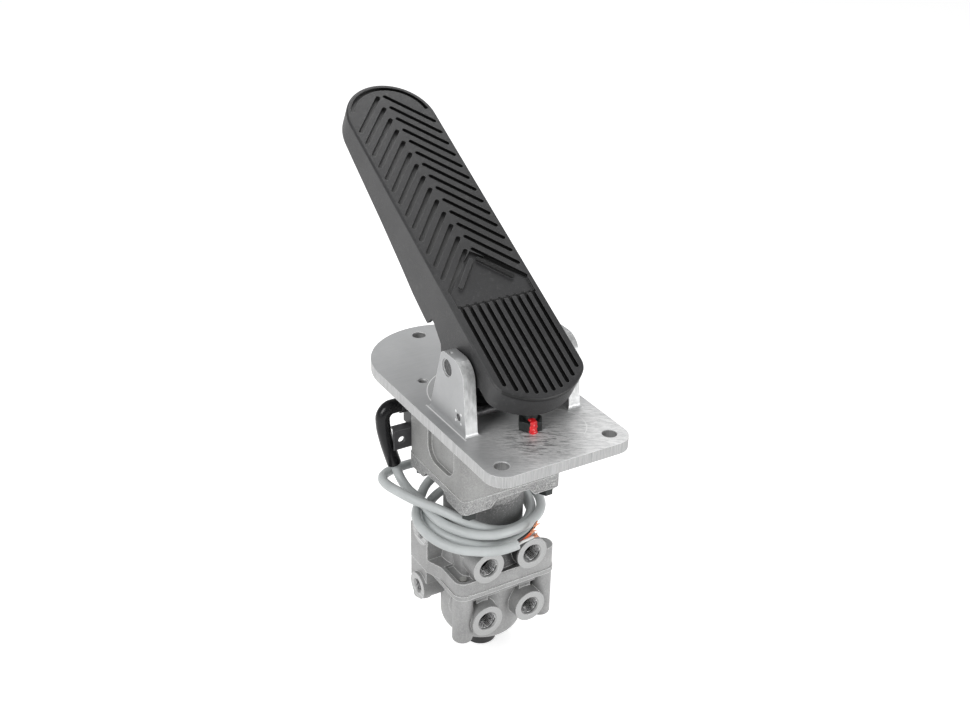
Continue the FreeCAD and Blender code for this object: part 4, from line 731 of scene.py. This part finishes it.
for node, body, joint, foot, travel in (
    ("plunger_boot", "valve", "plunger_slide", 0.0086, 0.0090),
    ("rubber_spring", "primary_piston", "plunger_slide", -0.0483, 0.0044),
):
    yielding(node, body, rubber_finish)
for node, joint, foot, travel in (
    ("primary_spring", "primary_piston_slide", -0.0720, 0.0046),
    ("relay_spring", "relay_piston_slide", -0.1460, 0.0034),
    ("upper_valve_spring", "upper_inlet_slide", -0.1040, 0.0036),
    ("lower_valve_spring", "lower_inlet_slide", -0.1760, 0.0025),
):
    yielding(node, "valve", wire_finish)

# Exhaust cover. One moulding of black polypropylene, a ribbed cap with a
# nozzle, snapped in under the lower body.

# Polypropylene, moulded: black, with a waxy half gloss and a faint skin.
exhaust_finish, tree, shader, place = new_finish("moulded_polypropylene", gloss=0.42)
skin = add(tree, NOISE, Vector=place, Scale=scale_for(0.714), Detail=3.0)
tree.links.new(
    add(tree, MIX, skin, colour("#19191b"), colour("#2b2b2c"), data_type="RGBA"),
    shader.inputs["Base Color"],
)
tree.links.new(add(tree, RANGE, skin, 0.3, 0.7, 0.36, 0.52), shader.inputs["Roughness"])
skinned(tree, shader, skin, 0.00005, edge=0.0006)
dress(["exhaust_cover"], exhaust_finish)

# Screws, pins and bushes. Black flange bolts hold the housing to the plate,
# zinc plated screws hold the bodies and the bracket, and steel pins carry the
# roller and the pedal, which turns in bronze bushes.

# Steel, blackened in a hot bath: near black and oily, worn grey in specks.
black_finish, tree, shader, place = new_finish("blackened_steel", metal=0.6, gloss=0.4)
bloom = add(tree, NOISE, Vector=place, Scale=scale_for(6.25), Detail=4.0, Roughness=0.6)
pits = add(tree, NOISE, Vector=place, Scale=scale_for(0.526))
worn = add(tree, RANGE, pits, 0.62, 0.74, 0.0, 0.5)
tone = add(tree, MIX, bloom, colour("#292b2b"), colour("#454948"), data_type="RGBA")
tree.links.new(
    add(tree, MIX, worn, tone, colour("#7c7c7c"), data_type="RGBA"), shader.inputs["Base Color"],
)
tree.links.new(add(tree, RANGE, bloom, 0.3, 0.7, 0.32, 0.5), shader.inputs["Roughness"])
skinned(tree, shader, pits, 0.00004, edge=0.0005)
dress(["housing_bolts", "stop_screw", "stop_nut"], black_finish)

# Steel, ground to size: bright, with fine lines drawn 0.6 mm wide to show.
steel_finish, tree, shader, place = new_finish("ground_steel", metal=0.95, gloss=0.3)
drag = streaked(tree, place, 16.7, 0.556, 0.556)
tree.links.new(
    patched(tree, drag, 0.3, 0.7, colour("#a2a2a3"), colour("#c8c8c8")),
    shader.inputs["Base Color"],
)
tree.links.new(add(tree, RANGE, drag, 0.3, 0.7, 0.25, 0.42), shader.inputs["Roughness"])
skinned(tree, shader, drag, 0.00003, edge=0.0003)
dress(["lock_pins", "roller_pin", "plunger"], steel_finish)

# Steel, hardened and left as it came from the oil: dark, blotched and dull.
dull_finish, tree, shader, place = new_finish("oil_hardened_steel", metal=0.6, gloss=0.5)
smut = add(tree, NOISE, Vector=place, Scale=scale_for(2.0), Detail=3.0)
tree.links.new(
    patched(tree, smut, 0.35, 0.65, colour("#3f3f40"), colour("#656566")),
    shader.inputs["Base Color"],
)
skinned(tree, shader, smut, 0.00006, edge=0.0003)
dress(["pivot_pin", "cross_pin"], dull_finish)

# Steel, zinc plated in a barrel: pale and bright, a little cloudy.
zinc_finish, tree, shader, place = new_finish("zinc_plated_steel", metal=0.9, gloss=0.32)
spangle = add(tree, NOISE, Vector=place, Scale=scale_for(1.43), Detail=3.0)
tree.links.new(
    add(tree, MIX, spangle, colour("#b5b5b1"), colour("#dfdfdb"), data_type="RGBA"),
    shader.inputs["Base Color"],
)
tree.links.new(add(tree, RANGE, spangle, 0.3, 0.7, 0.26, 0.42), shader.inputs["Roughness"])
skinned(tree, shader, spangle, 0.00003, edge=0.0004)
dress(["body_screws", "bracket_screws"], zinc_finish)

# Bronze, sintered from powder: warm brown yellow and porous. The pores are
# drawn 0.5 mm wide, coarser than real, so that they show.
bronze_finish, tree, shader, place = new_finish("sintered_bronze", metal=0.85, gloss=0.42)
pores = add(tree, NOISE, Vector=place, Scale=scale_for(0.455))
tree.links.new(
    add(tree, MIX, pores, colour("#9e815d"), colour("#c8ad86"), data_type="RGBA"),
    shader.inputs["Base Color"],
)
skinned(tree, shader, pores, 0.00005)
dress(["pivot_bushes"], bronze_finish)

# Stop screw paint. A dab of red sealing lacquer run down over the nut,
# put on once the pedal's stop was set, still glossy.

# Sealing lacquer, brushed on thick: pure red, wet looking under a clear skin.
lacquer, tree, shader, place = new_finish("brushed_lacquer", gloss=0.22)
pool = add(tree, NOISE, Vector=place, Scale=scale_for(2.38), Detail=3.0)
tree.links.new(
    patched(tree, pool, 0.35, 0.65, colour("#da1622"), colour("#f93035")),
    shader.inputs["Base Color"],
)
shader.inputs["Coat Weight"].default_value = 0.5
skinned(tree, shader, pool, 0.0003)


def run_of_drops(name, spots, voxel):
    """Soft drops laid one beside the other and drawn into one skin."""
    mesh = bmesh.new()
    for middle, size in spots:
        drop = bmesh.ops.create_icosphere(mesh, subdivisions=3, radius=1.0)
        for vert in drop["verts"]:
            wave = 1.0 + 0.16 * noise.noise(vert.co * 1.7 + Vector(middle) * 900.0)
            vert.co = Vector(middle) + Vector([c * s * wave for c, s in zip(vert.co, size)])
    data = bpy.data.meshes.new(name)
    mesh.to_mesh(data)
    mesh.free()
    piece = bpy.data.objects.new(name, data)
    scene.collection.objects.link(piece)
    fused = piece.modifiers.new("skin", "REMESH")
    fused.mode = "VOXEL"
    fused.voxel_size = voxel
    smooth = piece.modifiers.new("flow", "SMOOTH")
    smooth.iterations = 6
    graph = bpy.context.evaluated_depsgraph_get()
    plain = bpy.data.meshes.new_from_object(piece.evaluated_get(graph))
    piece.modifiers.clear()
    piece.data = plain
    for face in plain.polygons:
        face.use_smooth = True
    plain.materials.clear()
    plain.materials.append(lacquer)
    return piece


nut_low, nut_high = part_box("stop_nut")
nut_x = (nut_low[0] + nut_high[0]) / 2
nut_front = nut_low[1]
nut_top = nut_high[2]
dab = run_of_drops(
    "lacquer_dab",
    [
        ((nut_x - 0.0016, nut_front + 0.0038, nut_top + 0.0006), (0.0027, 0.0034, 0.0016)),
        ((nut_x - 0.0019, nut_front + 0.0009, nut_top - 0.0006), (0.0028, 0.0018, 0.0024)),
        ((nut_x - 0.0025, nut_front + 0.0000, nut_top - 0.0034), (0.0033, 0.0012, 0.0031)),
        ((nut_x - 0.0028, nut_front - 0.0002, nut_top - 0.0060), (0.0034, 0.0014, 0.0026)),
        ((nut_x - 0.0021, nut_front - 0.0006, nut_top - 0.0076), (0.0028, 0.0014, 0.0018)),
    ],
    0.0003,
)
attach(dab, "valve")

# Pedal. One moulding of black glass filled plastic, with a chevron tread,
# cross ribs at the heel and a fine grain from the mould.

# Polyamide with glass fibre, moulded in a grained tool: black, and half dull
# from the grain. The grain is drawn 0.45 mm wide, coarser than real, to show.
pedal_finish, tree, shader, place = new_finish("moulded_glass_filled_polyamide", gloss=0.46)
clouds = add(tree, NOISE, Vector=place, Scale=scale_for(45.5), Detail=4.0, Roughness=0.6)
skin = add(tree, NOISE, Vector=place, Scale=scale_for(0.455), Detail=3.0, Roughness=0.6)
dust = add(tree, NOISE, Vector=place, Scale=scale_for(3.85), Detail=4.0, Roughness=0.7)
x, y, z = add(tree, SPLIT, place, out=None)
out_x = add(tree, MATH, x, operation="ABSOLUTE")
tone = patched(tree, clouds, 0.3, 0.7, colour("#2b2b2c"), colour("#383839"))
tone = patched(tree, dust, 0.56, 0.8, tone, colour("#616161"), most=0.4)

# depth under the tread, and way up it from a point below the heel
tilt = math.radians(29.2)
tread_y, tread_z = -0.095, 0.0422
from_y = add(tree, MATH, y, tread_y, operation="SUBTRACT")
from_z = add(tree, MATH, z, tread_z, operation="SUBTRACT")
depth = add(
    tree, MATH, add(tree, MATH, from_y, math.sin(tilt), operation="MULTIPLY"),
    add(tree, MATH, from_z, math.cos(tilt), operation="MULTIPLY"), operation="SUBTRACT",
)
along = add(
    tree, MATH, add(tree, MATH, from_y, math.cos(tilt), operation="MULTIPLY"),
    add(tree, MATH, from_z, math.sin(tilt), operation="MULTIPLY"), operation="ADD",
)

# the chevrons fall away to the sides, and the heel has straight grooves
chevron_slope = 0.906
chevrons_start = 0.1375
heel_end = 0.0955
swept = add(
    tree, MATH, along, add(tree, MATH, out_x, chevron_slope, operation="MULTIPLY"), operation="ADD",
)
chevrons = add(tree, MATH, swept, chevrons_start, operation="GREATER_THAN")
heel = add(tree, MATH, along, heel_end, operation="LESS_THAN")

# groove floors are painted black as shade at the heel and on the right, their walls
# too, and mid grey in the left chevrons, partly dust and partly painted light
floor_depth = 0.0032
tread_half = 0.033
on_right = add(tree, RANGE, x, -0.016, 0.004, 0.0, 1.0)
painted_black_side = add(tree, MATH, on_right, heel, operation="MAXIMUM")
wall = add(tree, RANGE, painted_black_side, 0.0, 1.0, 0.0008, 0.0001)
in_groove = add(
    tree, RANGE, add(tree, MATH, depth, wall, operation="SUBTRACT"), 0.0, 0.0005, 0.0, 1.0,
)
for inside in (
    add(tree, MATH, depth, floor_depth, operation="LESS_THAN"),
    add(tree, MATH, out_x, tread_half, operation="LESS_THAN"),
    add(tree, MATH, chevrons, heel, operation="MAXIMUM"),
):
    in_groove = add(tree, MATH, in_groove, inside, operation="MULTIPLY")
painted_floor_tone = add(tree, MIX, painted_black_side, colour("#505050"), colour("#030303"), data_type="RGBA")
tone = add(tree, MIX, edge_wear_and_highlight(tree, 0.0006, 0.35), tone, colour("#868686"), data_type="RGBA")
tone = add(tree, MIX, in_groove, tone, painted_floor_tone, data_type="RGBA")

# the last chevron stands up in the sunk field, and its right bar is painted black as shade, as the
# right grooves are
bar_end = 0.0315
painted_bar_shade = add(tree, MATH, depth, 0.0005, operation="LESS_THAN")
for value, limit, side in (
    (swept, chevrons_start, "LESS_THAN"), (along, heel_end, "GREATER_THAN"),
    (x, 0.0, "GREATER_THAN"), (x, bar_end, "LESS_THAN"),
):
    inside = add(tree, MATH, value, limit, operation=side)
    painted_bar_shade = add(tree, MATH, painted_bar_shade, inside, operation="MULTIPLY")
tone = add(tree, MIX, painted_bar_shade, tone, colour("#030303"), data_type="RGBA")
tree.links.new(tone, shader.inputs["Base Color"])
tree.links.new(add(tree, RANGE, clouds, 0.3, 0.7, 0.38, 0.52), shader.inputs["Roughness"])
skinned(tree, shader, skin, 0.00012, edge=0.0005)
dress(["pedal"], pedal_finish)

# Sensor, its plug and its folded bracket, screwed to the housing's back.
# Glass filled plastic, and steel sheet with a black dip coat.

# Polyester with glass fibre, moulded: charcoal, even and half dull.
sensor_finish, tree, shader, place = new_finish("moulded_polyester", gloss=0.45)
skin = add(tree, NOISE, Vector=place, Scale=scale_for(0.625), Detail=3.0)
tree.links.new(
    add(tree, MIX, skin, colour("#222223"), colour("#343435"), data_type="RGBA"),
    shader.inputs["Base Color"],
)
skinned(tree, shader, skin, 0.00006, edge=0.0005)
dress(["sensor_housing", "cable_socket"], sensor_finish)

# Steel sheet, dip coated dark grey: the coat ran down before it set, and it is
# thin and rubbed pale along the cut edges.
dipped_finish, tree, shader, place = new_finish("dip_coated_steel", gloss=0.4)
runs = streaked(tree, place, 3.85, 3.85, 11.1, Detail=3.0)
coat = add(tree, MIX, runs, colour("#38383a"), colour("#525254"), data_type="RGBA")
tree.links.new(
    add(tree, MIX, edge_wear_and_highlight(tree, 0.0006, 0.5), coat, colour("#aaaaac"), data_type="RGBA"),
    shader.inputs["Base Color"],
)
tree.links.new(add(tree, RANGE, runs, 0.3, 0.7, 0.32, 0.5), shader.inputs["Roughness"])
skinned(tree, shader, runs, 0.0001, edge=0.0004)
dress(["sensor_bracket"], dipped_finish)

# Cable sleeve. Thick black rubber hose, pushed over the plug's neck and bent
# down through the bracket.

# Chloroprene rubber, extruded and wiped: jet black, glossy with dull smears.
sleeve_finish, tree, shader, place = new_finish("extruded_rubber", gloss=0.26)
shader.inputs["Specular IOR Level"].default_value = 0.3
bloom = streaked(tree, place, 11.1, 11.1, 25.0, Detail=4.0)
pores = add(tree, NOISE, Vector=place, Scale=scale_for(0.588))
tree.links.new(
    add(tree, MIX, bloom, colour("#0a0a0d"), colour("#19191b"), data_type="RGBA"),
    shader.inputs["Base Color"],
)
tree.links.new(add(tree, RANGE, bloom, 0.35, 0.7, 0.14, 0.38), shader.inputs["Roughness"])
skinned(tree, shader, pores, 0.00005, edge=0.0005)
dress(["cable_sleeve"], sleeve_finish)

# Sensor cable. Pale grey jacket, 7.5 mm thick, wound about three and a half
# times round the valve's neck in loose turns, and cut off bare at the front.

cable_d = 0.0075

# millimetres, from the sleeve's end round the neck to the cut
cable_route = [
    (-51.6, 49.5, -65.5), (-50.0, 49.3, -70.5), (-48.8, 44.6, -78.0), (-47.8, 34.5, -82.6),
    (-47.0, 24.0, -82.4), (-46.6, 15.5, -81.4), (-47.2, 8.0, -81.8), (-48.6, -3.0, -81.6),
    (-48.8, -14.0, -81.4), (-46.8, -23.5, -81.6), (-42.4, -32.6, -82.0), (-35.0, -40.5, -83.2),
    (-25.0, -46.4, -84.4), (-13.6, -49.2, -85.2), (-2.0, -48.6, -86.0), (11.5, -44.6, -87.6),
    (25.0, -37.4, -89.2), (36.5, -26.6, -91.2), (44.5, -13.0, -93.2), (48.0, 3.0, -93.4),
    (46.5, 19.0, -91.2), (39.0, 33.0, -88.2), (26.0, 45.0, -85.0), (9.0, 53.0, -82.0),
    (-9.0, 57.5, -79.8), (-26.0, 60.0, -78.4), (-42.0, 60.0, -78.4), (-55.5, 56.0, -77.0),
    (-64.4, 46.0, -74.2), (-66.8, 33.0, -71.8), (-64.0, 18.0, -70.6), (-58.8, 5.0, -71.6),
    (-52.4, -4.0, -73.0), (-46.8, -13.5, -73.4), (-41.6, -22.6, -74.6), (-35.4, -30.6, -77.4),
    (-27.0, -36.4, -81.6), (-17.0, -39.2, -86.6), (-6.0, -39.6, -90.6), (6.0, -38.4, -92.8),
    (17.0, -34.4, -93.8), (26.0, -26.6, -94.6), (33.6, -17.4, -94.8), (38.2, -5.0, -93.4),
    (39.0, 9.0, -91.6), (33.0, 22.0, -91.6), (22.5, 32.0, -92.8), (9.0, 38.4, -94.0),
    (-5.0, 40.0, -95.0), (-18.0, 37.0, -96.0), (-29.5, 30.4, -96.2), (-39.0, 20.5, -95.4),
    (-45.4, 10.0, -93.6), (-49.4, -1.0, -91.0), (-50.2, -12.5, -89.6), (-47.8, -23.5, -90.0),
    (-41.8, -31.8, -91.4), (-34.4, -38.4, -93.4), (-26.0, -43.6, -95.6), (-14.0, -44.6, -97.8),
    (-2.0, -43.6, -100.0), (9.0, -40.0, -101.8), (19.0, -34.4, -102.8), (28.0, -27.0, -103.2),
    (35.5, -16.0, -103.0), (40.0, -3.0, -101.8), (41.5, 10.0, -99.8), (39.5, 23.0, -97.0),
    (32.5, 35.0, -94.2), (22.0, 44.0, -91.6), (8.5, 49.0, -89.6), (-5.5, 49.5, -88.0),
    (-19.0, 45.5, -86.6), (-30.5, 37.5, -86.0), (-39.5, 28.5, -88.0), (-46.5, 19.5, -89.8),
    (-53.4, 10.5, -88.4), (-58.0, 0.0, -87.4), (-59.6, -11.0, -88.2), (-57.6, -22.0, -89.8),
    (-53.0, -32.4, -91.6), (-45.2, -41.8, -93.0), (-35.0, -48.4, -93.8), (-24.0, -54.2, -94.4),
    (-12.5, -57.0, -93.8), (-4.0, -57.4, -92.6),
]


def cord_curve(name, points, thickness, finish):
    """A round cord on one smooth line through given control points."""
    data = bpy.data.curves.new(name, "CURVE")
    data.dimensions = "3D"
    line = data.splines.new("NURBS")
    line.points.add(len(points) - 1)
    for control, (x, y, z) in zip(line.points, points):
        control.co = (x / 1000, y / 1000, z / 1000, 1.0)
    line.order_u = 3
    line.use_endpoint_u = True
    line.resolution_u = 8
    data.bevel_depth = thickness / 2
    data.bevel_resolution = 5
    data.use_fill_caps = True
    data.materials.append(finish)
    piece = bpy.data.objects.new(name, data)
    scene.collection.objects.link(piece)
    return piece


# Polyurethane, extruded over the cores: pale grey, satin, a little soiled.
jacket, tree, shader, place = new_finish("extruded_polyurethane", gloss=0.42)
shade = add(tree, NOISE, Vector=place, Scale=scale_for(22.2), Detail=3.0, Roughness=0.6)
smudge = add(tree, NOISE, Vector=place, Scale=scale_for(4.76), Detail=4.0, Roughness=0.7)
skin = add(tree, NOISE, Vector=place, Scale=scale_for(0.385))
tone = patched(tree, shade, 0.3, 0.7, colour("#bcc0c0"), colour("#cbcfcf"))
tone = patched(tree, smudge, 0.6, 0.8, tone, colour("#9b9e9e"), most=0.35)
tree.links.new(tone, shader.inputs["Base Color"])
tree.links.new(add(tree, RANGE, smudge, 0.3, 0.7, 0.36, 0.5), shader.inputs["Roughness"])
skinned(tree, shader, skin, 0.00004)
cable = cord_curve("sensor_cable", cable_route, cable_d, jacket)

# Cores. Three thin insulated wires come out of the cut jacket and bend up
# between the ports, each with a twist of bare copper strands at its tip.


def insulation(name, dark, light):
    """Vinyl, extruded thin over the strands: one plain colour, half glossy."""
    finish, tree, shader, place = new_finish(name, gloss=0.35)
    cloud = add(tree, NOISE, Vector=place, Scale=scale_for(3.33), Detail=3.0)
    tone = add(tree, MIX, cloud, dark, light, data_type="RGBA")
    tree.links.new(tone, shader.inputs["Base Color"])
    tree.links.new(add(tree, RANGE, cloud, 0.3, 0.7, 0.3, 0.45), shader.inputs["Roughness"])
    skinned(tree, shader, cloud, 0.00003)
    return finish


core_routes = {
    "core_white": [
        (-6.0, -57.4, -93.4), (-2.9, -57.2, -92.6), (1.5, -57.0, -91.9), (5.9, -56.6, -91.9),
        (10.3, -56.0, -91.6),
    ],
    "core_black": [
        (-6.0, -56.4, -91.4), (-1.0, -55.2, -90.6), (4.0, -54.2, -90.0), (9.0, -53.4, -88.4),
        (13.0, -52.8, -85.4),
    ],
    "core_orange": [
        (-6.0, -55.6, -93.0), (-2.0, -54.4, -92.6), (2.5, -54.6, -91.4), (6.4, -55.2, -90.0),
        (8.6, -55.2, -88.2),
    ],
}
core_tones = {
    "core_white": (colour("#cececb"), colour("#ececea")),
    "core_black": (colour("#19191b"), colour("#303032")),
    "core_orange": (colour("#c44b27"), colour("#e56938")),
}
core_d = 0.0021
cores = [
    cord_curve(name, points, core_d, insulation("extruded_vinyl_" + name, *core_tones[name]))
    for name, points in core_routes.items()
]


def strand_tree():
    """Lays a ring of thin wires round each core's end, twisted once."""
    group = bpy.data.node_groups.new("copper_strands", "GeometryNodeTree")
    socket_in(group, "Ends", "NodeSocketGeometry")
    socket_in(group, "Strands", "NodeSocketInt", 7)
    socket_in(group, "Bundle radius", "NodeSocketFloat", 0.0006)
    socket_in(group, "Strand radius", "NodeSocketFloat", 0.00022)
    socket_in(group, "Length", "NodeSocketFloat", 0.005)
    socket_in(group, "Lean", "NodeSocketVector", (0.0, 0.0, 0.0))
    socket_in(group, "Seed", "NodeSocketInt", 4)
    socket_in(group, "Metal", "NodeSocketMaterial")
    group.interface.new_socket("Wires", in_out="OUTPUT", socket_type="NodeSocketGeometry")
    start = group.nodes.new("NodeGroupInput").outputs
    flare = add(group, MATH, start["Bundle radius"], 1.9, operation="MULTIPLY")
    wire = add(
        group, "GeometryNodeCurveSpiral", Resolution=24, Rotations=0.4,
        Start_Radius=start["Bundle radius"], End_Radius=flare, Height=start["Length"],
    )
    section = add(
        group, "GeometryNodeCurvePrimitiveCircle", Resolution=6, Radius=start["Strand radius"],
    )
    tube = add(group, "GeometryNodeCurveToMesh", Curve=wire, Profile_Curve=section, Fill_Caps=True)
    ring = add(
        group, "GeometryNodeCurvePrimitiveCircle", Resolution=start["Strands"], Radius=0.00001,
    )
    place_in_ring = add(group, "GeometryNodeInputIndex")
    step = add(group, MATH, place_in_ring, 2 * math.pi / 7, operation="MULTIPLY")
    angle = add(group, "ShaderNodeCombineXYZ", Z=step)
    lengths = add(group, "FunctionNodeRandomValue", 0.75, 1.1, Seed=start["Seed"])
    bundle = add(
        group, "GeometryNodeInstanceOnPoints",
        Points=ring, Instance=tube, Rotation=angle, Scale=lengths,
    )
    tips = add(
        group, "GeometryNodeInstanceOnPoints",
        Points=start["Ends"], Instance=bundle, Rotation=start["Lean"],
    )
    real = add(group, "GeometryNodeRealizeInstances", tips)
    bare = add(group, "GeometryNodeSetMaterial", Geometry=real, Material=start["Metal"])
    group.links.new(bare, group.nodes.new("NodeGroupOutput").inputs[0])
    return group


# Copper, drawn into fine wire: bare, bright orange, with brown tarnish.
copper, tree, shader, place = new_finish("drawn_copper", metal=0.9, gloss=0.3)
tarnish = add(tree, NOISE, Vector=place, Scale=scale_for(1.11), Detail=3.0)
tree.links.new(
    add(tree, MIX, tarnish, colour("#ce8159"), colour("#f3b895"), data_type="RGBA"),
    shader.inputs["Base Color"],
)
skinned(tree, shader, tarnish, 0.00002)
strand_group = strand_tree()
strands = []
for name, points in core_routes.items():
    tip = Vector(points[-1])
    heading = (tip - Vector(points[-2])).normalized()
    lean = heading.to_track_quat("Z", "Y").to_euler()
    strands.append(grown(
        name + "_strands", strand_group, [tuple((tip - heading * 0.6) / 1000)],
        {
            "Strands": 7, "Bundle radius": 0.0008, "Strand radius": 0.00032, "Length": 0.0052,
            "Lean": tuple(lean), "Seed": 4, "Metal": copper,
        },
    ))

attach(cable, "valve")
for piece in cores + strands:
    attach(piece, "valve")
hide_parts("cable_lead", "cable_coil", "wire_ends")
